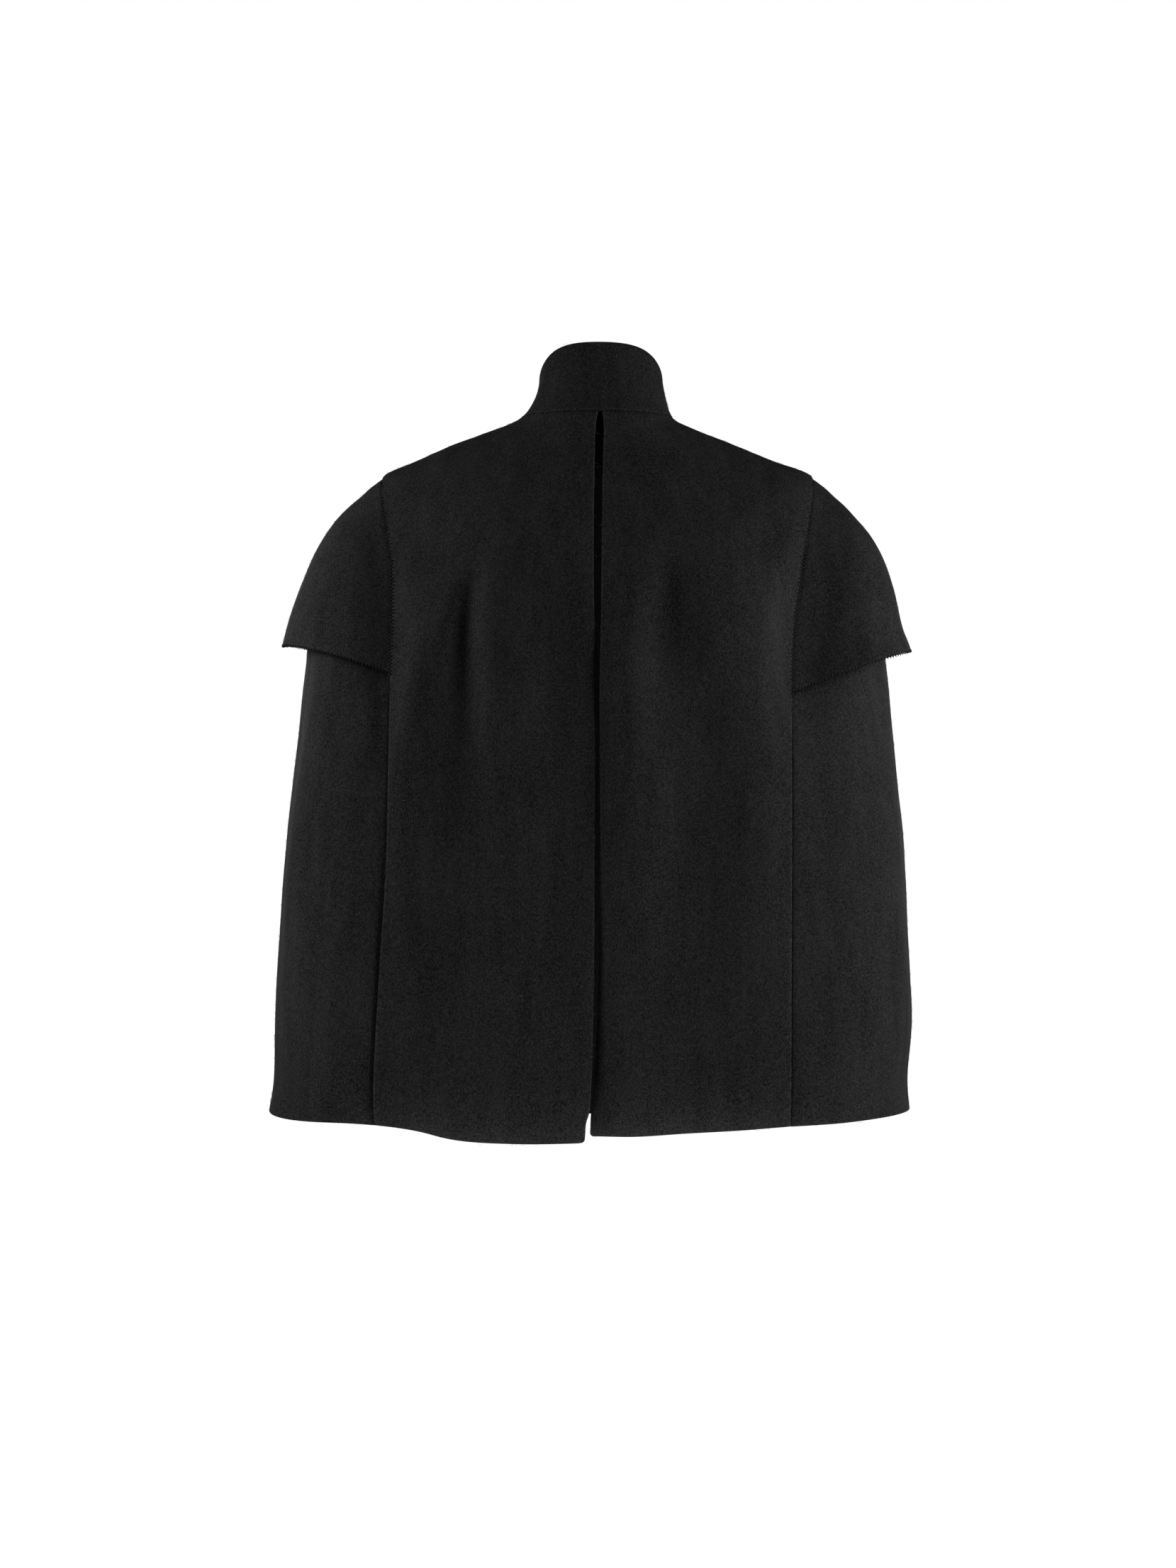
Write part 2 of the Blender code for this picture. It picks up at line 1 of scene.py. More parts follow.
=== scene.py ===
"""Black wool cape with a stand collar, an open centre-back slit and cap sleeves, hung as worn.

Sizes are in metres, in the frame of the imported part: +Z up, +Y the wearer's front, +X the wearer's
right. Every cloth piece lies on one cape surface. A place on it is a side (left or right), a turn
(-90 degrees at the centre back, 0 at the side, 90 at the centre front) and a ring number, counted
down from the neck seam to the hem.
"""

import math
from collections import namedtuple

import bmesh
import bpy
import numpy as np
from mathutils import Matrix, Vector


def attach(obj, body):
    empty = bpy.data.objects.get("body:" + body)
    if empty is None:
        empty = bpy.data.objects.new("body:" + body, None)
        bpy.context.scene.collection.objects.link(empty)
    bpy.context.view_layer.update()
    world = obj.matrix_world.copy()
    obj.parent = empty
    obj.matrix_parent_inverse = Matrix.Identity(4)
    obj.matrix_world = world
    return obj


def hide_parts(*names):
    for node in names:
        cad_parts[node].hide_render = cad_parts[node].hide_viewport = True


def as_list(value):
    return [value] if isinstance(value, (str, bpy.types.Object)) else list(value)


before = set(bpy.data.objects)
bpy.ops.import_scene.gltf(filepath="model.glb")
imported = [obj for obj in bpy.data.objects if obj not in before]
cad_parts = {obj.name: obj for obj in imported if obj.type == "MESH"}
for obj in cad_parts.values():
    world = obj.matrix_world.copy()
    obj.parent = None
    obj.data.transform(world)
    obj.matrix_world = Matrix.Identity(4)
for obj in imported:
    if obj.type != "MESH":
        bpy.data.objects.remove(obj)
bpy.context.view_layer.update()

# The cape's cut and hang
CLOTH = 0.0025
COLLAR_CLOTH = 0.0035
COLLAR_DROP = 0.0012
FRONT_LAP = 0.0120
LAP_GAP = 0.0008
LAP_RUN = 0.0350
SLEEVE_RECESS = 0.0021
SLEEVE_TUCK = 0.0008
SLEEVE_TUCK_RUN = 0.006
SLEEVE_UNDERLAP = 0.005
# How far past a panel's edge the shade painted on a cap sleeve beside its seam stays full
SEAM_PAINTED_SHADE = 0.0014
SLEEVE_FLARE = 0.0240
SLEEVE_FLARE_SHARE = 0.75
SLEEVE_FLARE_POWER = 1.4
SLEEVE_HEM_POWER = 4.0
UNDERLAP_GAP = 0.0012
SEAM_TUCK_RUN = 0.016
SADDLE_POWER = 3.0
FLAT_SHOULDER = 0.8
SLIT_ROLL = 0.0095
SLIT_ROLL_WIDTH = 0.024
SLIT_ROLL_FROM = 8.5
SLIT_ROLL_FULL = 14.0
SLIT_CORNER = 0.0042
SLIT_CORNER_FADE = 0.016

LEFT, RIGHT = -1, 1
BACK, FRONT = -1, 1
SIDE_WORD = {LEFT: "left", RIGHT: "right"}

# The cape's rings, from the neck seam to the hem: half widths to each side, depths to the back and
# front, the heights of those points, how far out the sleeve and side seams lie, and how flat each
# side hangs (0 is an ellipse).
Ring = namedtuple(
    "Ring",
    "left right side_z back back_z front front_z seam_left seam_right seam_front flat_left flat_right",
)
RINGS = (
    Ring(0.0728, 0.0720, 0.0000, 0.0600, 0.0000, 0.0660, -0.0360, 0.0728, 0.0720, 0.0720, 0.00, 0.00),
    Ring(0.0868, 0.0830, -0.0080, 0.0690, -0.0220, 0.0790, -0.0550, 0.0868, 0.0830, 0.0845, 0.02, 0.02),
    Ring(0.1412, 0.1332, -0.0280, 0.0880, -0.0700, 0.1070, -0.0980, 0.1412, 0.1332, 0.1370, 0.06, 0.06),
    Ring(0.1760, 0.1710, -0.0435, 0.0990, -0.1020, 0.1220, -0.1320, 0.1760, 0.1710, 0.1735, 0.09, 0.09),
    Ring(0.2070, 0.2070, -0.0570, 0.1070, -0.1310, 0.1330, -0.1580, 0.2070, 0.2070, 0.2070, 0.11, 0.11),
    Ring(0.2318, 0.2312, -0.0800, 0.1130, -0.1580, 0.1400, -0.1840, 0.2050, 0.2030, 0.2040, 0.13, 0.10),
    Ring(0.2522, 0.2493, -0.1050, 0.1180, -0.1840, 0.1450, -0.2080, 0.1990, 0.1970, 0.1990, 0.16, 0.08),
    Ring(0.2654, 0.2650, -0.1350, 0.1220, -0.2100, 0.1485, -0.2320, 0.1969, 0.1930, 0.1955, 0.20, 0.06),
    Ring(0.2748, 0.2724, -0.1700, 0.1265, -0.2380, 0.1510, -0.2570, 0.1957, 0.1895, 0.1930, 0.25, 0.04),
    Ring(0.2813, 0.2755, -0.2080, 0.1305, -0.2660, 0.1530, -0.2820, 0.1951, 0.1870, 0.1915, 0.30, 0.02),
    Ring(0.2834, 0.2810, -0.2450, 0.1345, -0.2940, 0.1550, -0.3080, 0.1950, 0.1840, 0.1900, 0.34, 0.04),
    Ring(0.2926, 0.2887, -0.3300, 0.1455, -0.3600, 0.1600, -0.3660, 0.1942, 0.1812, 0.1890, 0.40, 0.18),
    Ring(0.3018, 0.2967, -0.4150, 0.1570, -0.4330, 0.1660, -0.4370, 0.1949, 0.1792, 0.1900, 0.44, 0.40),
    Ring(0.3079, 0.3001, -0.5000, 0.1680, -0.5100, 0.1720, -0.5130, 0.1996, 0.1779, 0.1920, 0.45, 0.50),
    Ring(0.3120, 0.3036, -0.5800, 0.1785, -0.5860, 0.1775, -0.5880, 0.2039, 0.1771, 0.1950, 0.45, 0.52),
    Ring(0.3132, 0.2993, -0.6400, 0.1860, -0.6400, 0.1818, -0.6400, 0.2060, 0.1767, 0.1970, 0.45, 0.52),
    Ring(0.3180, 0.3015, -0.6730, 0.1900, -0.6730, 0.1840, -0.6730, 0.2067, 0.1766, 0.1980, 0.45, 0.52),
)
SHOULDER_RING = 4
HEM_RING = len(RINGS) - 1
HEM_SHAPED_FROM = 13.0
HEM_BLEND = math.radians(20.0)
SLEEVE_TOP = SHOULDER_RING + 0.03
SLEEVE_HEM_SIDE = {LEFT: 9.52, RIGHT: 9.74}
SLEEVE_HEM_CORNER = {LEFT: 9.28, RIGHT: 9.80}
SLEEVE_WING = {LEFT: 0.0, RIGHT: 0.018}
SLEEVE_WING_BEND = 0.43
SLEEVE_WING_FULL = 7.0
SLEEVE_HEM_BEND = {LEFT: 1.6, RIGHT: 1.3}
SLEEVE_HEM_BEND_POWER = 4
SLEEVE_HEM_FRONT_RISE = 0.8
SLEEVE_HEM_TURN = {LEFT: 0.35, RIGHT: 0.0}
SLEEVE_HEM_TURN_RUN = 0.65
# How fuzzy each cap sleeve's hem edge is, with a highlight painted along the right one, where light
# catches it
SLEEVE_HEM_FUZZ_AND_HIGHLIGHT = {LEFT: 0.0, RIGHT: 0.6}
SLEEVE_HEM_TURN_SHARES = (0.2, 0.55)
SIDE_PANEL_TOP = 8.0
UNDERLAP_RUN = 1.0
UNDERLAP_SHARES = (0.05, 0.5)
# The shadow painted on a side panel under its cap sleeve's hem: the shares across over which it fades out
# from the seams, and how fast it fades below the hem
HEM_SHADOW_SHARES = (0.25, 0.7)
HEM_SHADOW_RUN = 0.0030

# How far a side panel's back edge is tucked in and is lapped under the back panel, and how far out
# from its seams the shade painted along them starts to fade
SEAM_TUCK = {LEFT: 0.0032, RIGHT: 0.0}
SEAM_LAP = {LEFT: 0.0030, RIGHT: 0.0}
SIDE_PAINTED_SHADE = {LEFT: 0.0010, RIGHT: 0.0}

# The centre-back slit's two edges across X, against the ring number.
Slit = namedtuple("Slit", "ring left right")
SLIT = (
    Slit(0.0, 0.0013, 0.0034),
    Slit(0.6, -0.0013, 0.0054),
    Slit(2.0, -0.0033, 0.0045),
    Slit(4.0, -0.0040, 0.0037),
    Slit(7.0, -0.0033, 0.0023),
    Slit(9.0, -0.0026, 0.0010),
    Slit(12.0, -0.0032, 0.0012),
    Slit(13.0, -0.0036, 0.0004),
    Slit(14.0, -0.0049, -0.0022),
    Slit(14.8, -0.0066, -0.0050),
    Slit(15.15, -0.0078, -0.0064),
    Slit(15.4, -0.0110, -0.0074),
    Slit(15.7, -0.0118, -0.0076),
    Slit(16.0, -0.0122, -0.0076),
)

# How far the hem hangs below its last ring, against the distance across from the centre.
Hem = namedtuple("Hem", "across back_left back_right front")
HEM = (
    Hem(0.000, 0.0112, 0.0056, 0.0250),
    Hem(0.030, 0.0124, 0.0061, 0.0245),
    Hem(0.080, 0.0127, 0.0031, 0.0220),
    Hem(0.137, 0.0083, -0.0002, 0.0165),
    Hem(0.165, 0.0016, -0.0024, 0.0135),
    Hem(0.220, -0.0043, -0.0050, 0.0080),
    Hem(0.270, -0.0038, -0.0070, 0.0040),
    Hem(0.320, -0.0014, -0.0045, 0.0005),
)

# Soft flutes: the crest's turn at its top and low end, the rings where it starts, is highest and
# ends, its width in degrees towards the centre and towards the side, its height (below zero for a
# trough), and the share of that width at its top, which is all of it where none is given.
Fold = namedtuple("Fold", "side turn_top turn_low top peak low inner outer height narrow", defaults=(1.0,))
FOLD_BEND = 0.35
FOLDS = (
    Fold(LEFT, -56.0, -74.0, 2.6, 7.2, 14.6, 18.0, 10.0, 0.0150, 0.7),
    Fold(LEFT, -58.5, -57.5, 3.2, 7.4, 11.0, 6.0, 12.0, 0.0100),
    Fold(LEFT, -55.0, -51.5, 7.8, 10.4, 13.6, 8.5, 10.0, 0.0075),
    Fold(LEFT, -80.5, -80.5, 9.6, 11.0, 13.6, 4.0, 5.0, 0.0014),
    Fold(LEFT, -33.0, -38.0, 2.6, 5.2, 8.8, 34.0, 20.0, -0.0100),
    Fold(LEFT, -22.0, -26.0, 8.4, 11.0, 16.5, 13.0, 12.0, 0.0070),
    Fold(LEFT, -37.0, -39.0, 9.4, 13.0, 19.0, 24.0, 14.0, 0.0050),
    Fold(RIGHT, -72.0, -87.5, 2.8, 7.0, 11.0, 8.0, 11.0, 0.0140, 0.7),
    Fold(RIGHT, -83.0, -85.0, 6.6, 11.0, 16.0, 8.0, 12.0, 0.0145),
    Fold(RIGHT, -72.0, -70.0, 6.6, 10.6, 15.0, 12.0, 8.0, -0.0040),
    Fold(RIGHT, -63.0, -68.0, 4.0, 7.6, 10.4, 5.0, 5.0, 0.0030, 0.8),
    Fold(RIGHT, -64.0, -62.0, 2.6, 6.2, 9.6, 18.0, 20.0, 0.0110),
    Fold(RIGHT, -59.0, -60.0, 5.4, 9.4, 16.0, 13.0, 10.0, 0.0115),
    Fold(LEFT, 50.0, 55.0, 6.0, 10.4, 14.8, 9.0, 9.0, 0.0045),
    Fold(LEFT, 70.0, 74.0, 5.6, 10.2, 14.8, 9.5, 9.5, 0.0060),
    Fold(RIGHT, 68.0, 73.0, 5.6, 10.2, 14.8, 9.5, 9.5, 0.0060),
    Fold(RIGHT, 49.0, 53.0, 6.0, 10.4, 14.8, 9.0, 9.0, 0.0045),
    Fold(LEFT, 16.0, 21.0, 10.0, 12.4, 14.9, 12.0, 12.0, 0.0035),
    Fold(RIGHT, 18.0, 22.0, 10.2, 12.5, 14.9, 12.0, 12.0, 0.0035),
)

# The soft valleys that the back seams lie in: the rings where one starts, is deepest and has eased,
# the share of its depth left below that, its width in degrees on the back panel and on the side
# panel, and its depth.
Valley = namedtuple("Valley", "top full eased share panel_turn side_turn depth")
SEAM_VALLEYS = {
    LEFT: Valley(4.6, 7.4, 11.8, 0.45, 8.0, 13.0, 0.0052),
    RIGHT: Valley(4.1, 8.0, 12.2, 0.20, 11.0, 26.0, 0.0120),
}

# How far the hem curls in at the back, and the ring where that starts
HEM_CURL = 0.0150
HEM_CURL_FROM = 14.6

# The collar's top edge: its height at the centre back, the sides and the centre front, with its
# slope there against the sine of the turn. Then its half widths and depths, and how quickly each
# side draws in from the neck seam.
Edge = namedtuple("Edge", "z slope")
COLLAR_EDGE = {"back": Edge(0.0656, -0.007), "side": Edge(0.036, -0.032), "front": Edge(0.018, -0.004)}
COLLAR_TOP = {"left": 0.0568, "right": 0.0632, "back": 0.0520, "front": 0.0570}
COLLAR_DRAW_IN = {"left": 2.2, "right": 1.6, "depth": 1.9}
COLLAR_LIP = 0.0009
COLLAR_LIP_SHARE = 0.16

# How the cloth's cells are spaced over the rough size of each piece, and how its edges round over
PANEL_STEP = 0.0032
SLEEVE_STEP = 0.0028
COLLAR_STEP = 0.0022
PANEL_WIDTH = 0.21
SLEEVE_WIDTH = 0.24
SIDE_WIDTH = 0.37
COLLAR_LENGTH = 0.43
COLLAR_HEIGHT = 0.062
ROW_TURN = math.radians(50.0)
ROW_SAMPLES = 1500
EDGE_STEPS = (0.0, 0.0002, 0.0006, 0.0013)
EDGE_RUN = 0.0024
SEWN_ROUND = 0.0006

# Small relief of the felted cloth
SEAM_DRAW = 0.00035
SEAM_DRAW_RUN = 0.0045
PUCKER = 0.00012
PUCKER_LENGTH = 0.015
PUCKER_DRIFT = 2.0
PUCKER_DRIFT_RATE = 37.0
PUCKER_RUN = 0.008
RIPPLE = 0.00006
RIPPLES = 9
RIPPLE_ACROSS = (0.030, 0.085)
RIPPLE_DOWN = (0.07, 0.30)
RIPPLE_LEAN = 0.25
RIPPLE_FADE = 0.018

# How far the fuzz of an edge, with the highlight painted on it, and the shade painted along a seam reach
FUZZ_AND_HIGHLIGHT_RUN = (0.0003, 0.0026)
PAINTED_SHADE_RUN = 0.0019

# Small steps that slopes are measured over
DIFFERENCE_TURN = math.radians(0.05)
DIFFERENCE_RING = 0.002
DIFFERENCE_COLLAR = 1e-3


# The cape's surface
def smooth_step(low, high, value):
    """0 below low, 1 above high, and a soft rise between them."""
    share = np.clip((value - low) / (high - low), 0.0, 1.0)
    return share * share * (3.0 - 2.0 * share)


def curve(start, end, leaving, arriving, share):
    """Between two values on a curve; its slopes at the ends are given for the whole step."""
    rise = (end - start) * share**2 * (3.0 - 2.0 * share)
    lean = leaving * share * (1.0 - share) ** 2 + arriving * share**2 * (share - 1.0)
    return start + rise + lean


def smooth_rows(rows, position):
    """The rows' values at fractional row numbers, on smooth curves through the rows."""
    table = np.array(rows, float)
    last = len(table) - 1
    position = np.clip(position, 0.0, last)
    first = np.minimum(position.astype(int), last - 1)
    before, start, end, after = (table[np.clip(first + step, 0, last)] for step in (-1, 0, 1, 2))
    share = (position - first)[..., None]
    return curve(start, end, (end - before) / 2.0, (after - start) / 2.0, share)


def column(rows, name):
    return np.array([getattr(row, name) for row in rows])


def soft_line(places, values, at):
    """Values between the stated places, on one smooth curve."""
    slopes = np.gradient(values, places)
    at = np.clip(at, places[0], places[-1])
    first = np.clip(np.searchsorted(places, at, side="right") - 1, 0, len(places) - 2)
    step = places[first + 1] - places[first]
    leaving, arriving = step * slopes[first], step * slopes[first + 1]
    return curve(values[first], values[first + 1], leaving, arriving, (at - places[first]) / step)


def hump(away, width):
    """1 in the middle, falling softly to 0 at a width to either side."""
    return np.cos(np.clip(away / width, -1.0, 1.0) * math.pi / 2.0) ** 2


def ring_sizes(ring):
    """Each named size of the rings at fractional ring numbers."""
    return Ring(*np.moveaxis(smooth_rows(RINGS, ring), -1, 0))


def half_width(side, sizes):
    return getattr(sizes, SIDE_WORD[side])


def hem_drop(side, turn, across):
    """How far the hem hangs below its ring at a distance across from the centre."""
    back = column(HEM, f"back_{SIDE_WORD[side]}")
    places = column(HEM, "across")
    across = np.abs(across)
    behind = soft_line(places, back, across)
    before = soft_line(places, column(HEM, "front"), across)
    return behind + (before - behind) * smooth_step(-HEM_BLEND, HEM_BLEND, turn)


def fold_lift(side, turn, ring):
    """How far out the flutes, the seam valleys and the hem's curl bring a place on the cape."""
    lift = np.zeros_like(turn)
    for fold in FOLDS:
        if fold.side != side:
            continue
        run = np.clip((ring - fold.top) / (fold.low - fold.top), 0.0, 1.0)
        crest = fold.turn_top + (fold.turn_low - fold.turn_top) * run**FOLD_BEND
        out = np.abs(crest) - np.abs(np.degrees(turn))
        width = np.where(out < 0.0, fold.inner, fold.outer) * (fold.narrow + (1.0 - fold.narrow) * run)
        along = smooth_step(fold.top, fold.peak, ring) * (1.0 - smooth_step(fold.peak, fold.low, ring))
        lift += fold.height * hump(out, width) * along
    valley = SEAM_VALLEYS[side]
    away = np.degrees(turn - seam_turn(side, BACK, ring))
    eased = 1.0 - (1.0 - valley.share) * smooth_step(valley.full, valley.eased, ring)
    depth = valley.depth * smooth_step(valley.top, valley.full, ring) * eased
    lift -= depth * hump(away, np.where(away < 0.0, valley.panel_turn, valley.side_turn))
    behind = np.clip(-np.sin(turn), 0.0, 1.0) ** 2
    curl = np.clip((ring - HEM_CURL_FROM) / (HEM_RING - HEM_CURL_FROM), 0.0, 1.0) ** 2
    return lift - HEM_CURL * behind * curl


def cape_point(side, turn, ring):
    """A point of the smooth cape, without its folds."""
    sizes = ring_sizes(ring)
    half = half_width(side, sizes)
    depth = np.where(turn < 0.0, sizes.back, sizes.front)
    centre_z = np.where(turn < 0.0, sizes.back_z, sizes.front_z)
    x = side * half * np.cos(turn)
    to_side = np.cos(turn) ** 2
    flat = getattr(sizes, f"flat_{SIDE_WORD[side]}")
    y = depth * np.sin(turn) * (1.0 + flat * to_side * (1.0 + FLAT_SHOULDER * to_side))
    z = centre_z + (sizes.side_z - centre_z) * np.abs(np.cos(turn)) ** SADDLE_POWER
    z = z - hem_drop(side, turn, x) * smooth_step(HEM_SHAPED_FROM, HEM_RING, ring)
    return np.stack([x, y, z], axis=-1)


def unit(vectors):
    return vectors / np.linalg.norm(vectors, axis=-1, keepdims=True)


def normals(surface, side, turn, ring):
    """Outward unit normals of a surface given by turn and ring."""
    low = np.clip(ring - DIFFERENCE_RING, 0.0, HEM_RING)
    high = np.clip(ring + DIFFERENCE_RING, 0.0, HEM_RING)
    down = surface(turn, high) - surface(turn, low)
    round_it = surface(turn + DIFFERENCE_TURN, ring) - surface(turn - DIFFERENCE_TURN, ring)
    return unit(side * np.cross(down, round_it))


def not_moved(turn, ring):
    return np.zeros_like(turn)


def cloth_surface(side, lift, set_back=not_moved):
    """The outer face of one piece: the cape with its folds, set back and moved out as the piece is."""

    def smooth(turn, ring):
        points = cape_point(side, turn, ring)
        points[..., 1] -= set_back(turn, ring)
        return points

    def surface(turn, ring):
        out = fold_lift(side, turn, ring) + lift(turn, ring)
        return smooth(turn, ring) + normals(smooth, side, turn, ring) * out[..., None]

    return surface


def seam_turn(side, face, ring):
    """The turn of the shoulder seam, and below the shoulder of the sleeve and side seam."""
    sizes = ring_sizes(ring)
    seam = getattr(sizes, f"seam_{SIDE_WORD[side]}") if face == BACK else sizes.seam_front
    turned = np.arccos(np.clip(seam / half_width(side, sizes), -1.0, 1.0))
    return face * np.where(ring > SHOULDER_RING, turned, 0.0)


def edge_turn(side, face, ring):
    """The turn of a panel's free edge at the centre-back slit, or past the centre front."""
    half = half_width(side, ring_sizes(ring))
    if face == BACK:
        edge = soft_line(column(SLIT, "ring"), column(SLIT, SIDE_WORD[side]), ring)
    else:
        edge = -side * FRONT_LAP
    return face * np.arccos(np.clip(side * edge / half, -1.0, 1.0))


def under_lap(from_centre, thickness):
    """How far in the left front lies, where the right one laps over it across the centre."""
    return (thickness + LAP_GAP) * (1.0 - smooth_step(FRONT_LAP, FRONT_LAP + LAP_RUN, from_centre))


# Grids of the cloth pieces
# A cloth piece's grid: points on its outer face and outward normals. Then for each of its four edges
# (first and last column, first and last row) whether it is sewn, how fuzzy it is, with a highlight
# painted there, and how far in from it the shade painted along a seam starts to fade, if it has one.
# Last, a shadow painted where another piece's hem lies over it.
Edges = namedtuple("Edges", "start end top bottom")
Grid = namedtuple("Grid", "points normals sewn fuzz crease shadow", defaults=(0.0,))


def spaced(length, step):
    """Shares along a run: a few close to each end, where the edge rounds over, and even steps."""
    near = np.array(EDGE_STEPS)
    inner = np.linspace(EDGE_RUN, length - EDGE_RUN, round(length / step))
    return np.concatenate([near, inner, length - near[::-1]]) / length


def run_along(points, axis):
    """How far each point lies from the first one of its row or column, along that."""
    steps = np.linalg.norm(np.diff(points, axis=axis), axis=-1)
    start = np.zeros_like(np.take(steps, [0], axis=axis))
    return np.concatenate([start, np.cumsum(steps, axis=axis)], axis=axis)


def runs(points):
    """How far each grid point lies from the four edges, along its own row or column."""
    across, down = run_along(points, 1), run_along(points, 0)
    return Edges(across, across[:, -1:] - across, down, down[-1:] - down)


def ring_rows(side, turn, first, last, step):
    """Ring numbers from first to last whose rows lie evenly spaced along one turn of the cape."""
    dense = np.linspace(first, last, ROW_SAMPLES)
    run = run_along(cape_point(side, np.full_like(dense, turn), dense), 0)
    return np.interp(spaced(run[-1], step) * run[-1], run, dense)


def on_cape(surface, side, turn, ring, sewn, fuzz, crease):
    return Grid(surface(turn, ring), normals(surface, side, turn, ring), sewn, fuzz, crease)


def hidden_width(surface, seam, turn, ring):
    """How far each point of a piece lies from the seam that it runs under."""
    return np.linalg.norm(surface(seam, ring) - surface(turn, ring), axis=-1)


def panel_grid(side, face):
    """A back or front panel, from the neck seam over the shoulder to the hem."""
    ring = ring_rows(side, face * ROW_TURN, 0.0, HEM_RING, PANEL_STEP)[:, None]
    start = edge_turn(side, face, ring)
    turn = start + (seam_turn(side, face, ring) - start) * spaced(PANEL_WIDTH, PANEL_STEP)[None, :]
    ring = np.broadcast_to(ring, turn.shape)

    def edge_lift(turn, ring):
        """The right back panel turns in along the lower slit, and the left front under its lap."""
        if (side, face) == (RIGHT, BACK):
            away = (turn - edge_turn(side, face, ring)) * ring_sizes(ring).right
            low = smooth_step(SLIT_ROLL_FROM, SLIT_ROLL_FULL, ring)
            return -SLIT_ROLL * low * np.clip(1.0 - away / SLIT_ROLL_WIDTH, 0.0, 1.0) ** 2
        if (side, face) == (LEFT, FRONT):
            return -under_lap(ring_sizes(ring).left * np.cos(turn), CLOTH)
        return np.zeros_like(turn)

    sewn = Edges(False, True, True, False)
    # The panel's fuzzy edges get a painted highlight, most along its seam edge
    fuzz = Edges(0.5, 0.9, 0.0, 0.1)
    # Shade is painted along the neck seam at the top edge
    crease = Edges(None, None, 0.0, None)
    grid = on_cape(cloth_surface(side, edge_lift), side, turn, ring, sewn, fuzz, crease)
    return slit_corner_rounded(grid) if face == BACK else grid


def slit_corner_rounded(grid):
    """The grid with its hem corner at the slit rounded off."""
    run = runs(grid.points)
    near = np.clip(1.0 - run.start / SLIT_CORNER, 0.0, 1.0)
    rise = SLIT_CORNER * (1.0 - np.sqrt(1.0 - near**2))
    rise = rise * np.clip(1.0 - run.bottom / SLIT_CORNER_FADE, 0.0, 1.0) ** 2
    return grid._replace(points=grid.points + rise[..., None] * np.array([0.0, 0.0, 1.0]))


def sleeve_seams(side, ring):
    """The turns of the back and front seams that a side's cap sleeve and side panel are sewn to."""
    return tuple(seam_turn(side, face, ring) for face in (BACK, FRONT))


def from_side_line(turn, behind, before):
    """0 at the side, and -1 and 1 at the two seams."""
    return np.where(turn < 0.0, -turn / behind, turn / before)


def sleeve_hem(side, across):
    """The ring number of a cap sleeve's hem: across is -1 at the back seam and 1 at the front one."""
    away = np.abs(across)
    to_corner = (SLEEVE_HEM_CORNER[side] - SLEEVE_HEM_SIDE[side]) * away
    behind = to_corner - SLEEVE_HEM_BEND[side] * away**SLEEVE_HEM_BEND_POWER * (1.0 - away)
    return SLEEVE_HEM_SIDE[side] + np.where(across < 0.0, behind, -SLEEVE_HEM_FRONT_RISE * away)


def hem_turned(side, across, ring):
    """The share of a cap sleeve's flare lost where its hem turns in behind."""
    near = np.clip((ring - sleeve_hem(side, across)) / SLEEVE_HEM_TURN_RUN + 1.0, 0.0, 1.0)
    return SLEEVE_HEM_TURN[side] * smooth_step(*SLEEVE_HEM_TURN_SHARES, -across) * near**2


def cap_sleeve_grid(side):
    """The short cap sleeve, sewn under the back and front panels and flaring over the side panel."""
    across = (spaced(SLEEVE_WIDTH, SLEEVE_STEP) * 2.0 - 1.0)[None, :]
    rows = ring_rows(side, 0.0, SLEEVE_TOP, SLEEVE_HEM_SIDE[side], SLEEVE_STEP)[:, None]
    down = (rows - SLEEVE_TOP) / (SLEEVE_HEM_SIDE[side] - SLEEVE_TOP)
    ring = rows + (sleeve_hem(side, across) - SLEEVE_HEM_SIDE[side]) * down**SLEEVE_HEM_POWER

    def flare(turn, ring):
        behind, before = sleeve_seams(side, np.maximum(ring, SLEEVE_TOP))
        across = from_side_line(turn, behind, before)
        away = 1.0 - np.abs(across)
        middle = smooth_step(0.0, SLEEVE_FLARE_SHARE, away)
        down = np.clip((ring - SHOULDER_RING) / (SLEEVE_HEM_SIDE[side] - SHOULDER_RING), 0.0, 1.0)
        run = away * np.abs(np.where(turn < 0.0, behind, before)) * ring_sizes(ring).back
        tuck = SLEEVE_TUCK * (1.0 - smooth_step(-SLEEVE_UNDERLAP, SLEEVE_TUCK_RUN, run))
        out = middle * down**SLEEVE_FLARE_POWER * (1.0 - hem_turned(side, across, ring))
        return -SLEEVE_RECESS - tuck + (SLEEVE_FLARE + SLEEVE_RECESS) * out

    def wing(turn, ring):
        """How far back the cap sleeve stands, flat as a wing, between its back seam and the side."""
        behind = seam_turn(side, BACK, np.maximum(ring, SLEEVE_TOP))
        away = np.clip(turn / behind, 0.0, 1.0)
        full = smooth_step(SHOULDER_RING, SLEEVE_WING_FULL, ring)
        return SLEEVE_WING[side] * np.sin(math.pi * away**SLEEVE_WING_BEND) * full

    behind, before = sleeve_seams(side, ring)
    lap = SLEEVE_UNDERLAP / ring_sizes(ring).back
    turn = np.where(across < 0.0, -across * (behind - lap), across * (before + lap))
    surface = cloth_surface(side, flare, wing)
    hidden_behind = hidden_width(surface, behind, turn, ring)[:, :1]
    hidden_before = hidden_width(surface, before, turn, ring)[:, -1:]
    sewn = Edges(True, True, True, False)
    fuzz = Edges(0.0, 0.0, 0.0, SLEEVE_HEM_FUZZ_AND_HIGHLIGHT[side])
    # Shade is painted on the cap sleeve beside each seam, from where the panel's edge hides it
    crease = Edges(hidden_behind + SEAM_PAINTED_SHADE, hidden_before + SEAM_PAINTED_SHADE, None, None)
    return on_cape(surface, side, turn, ring, sewn, fuzz, crease)


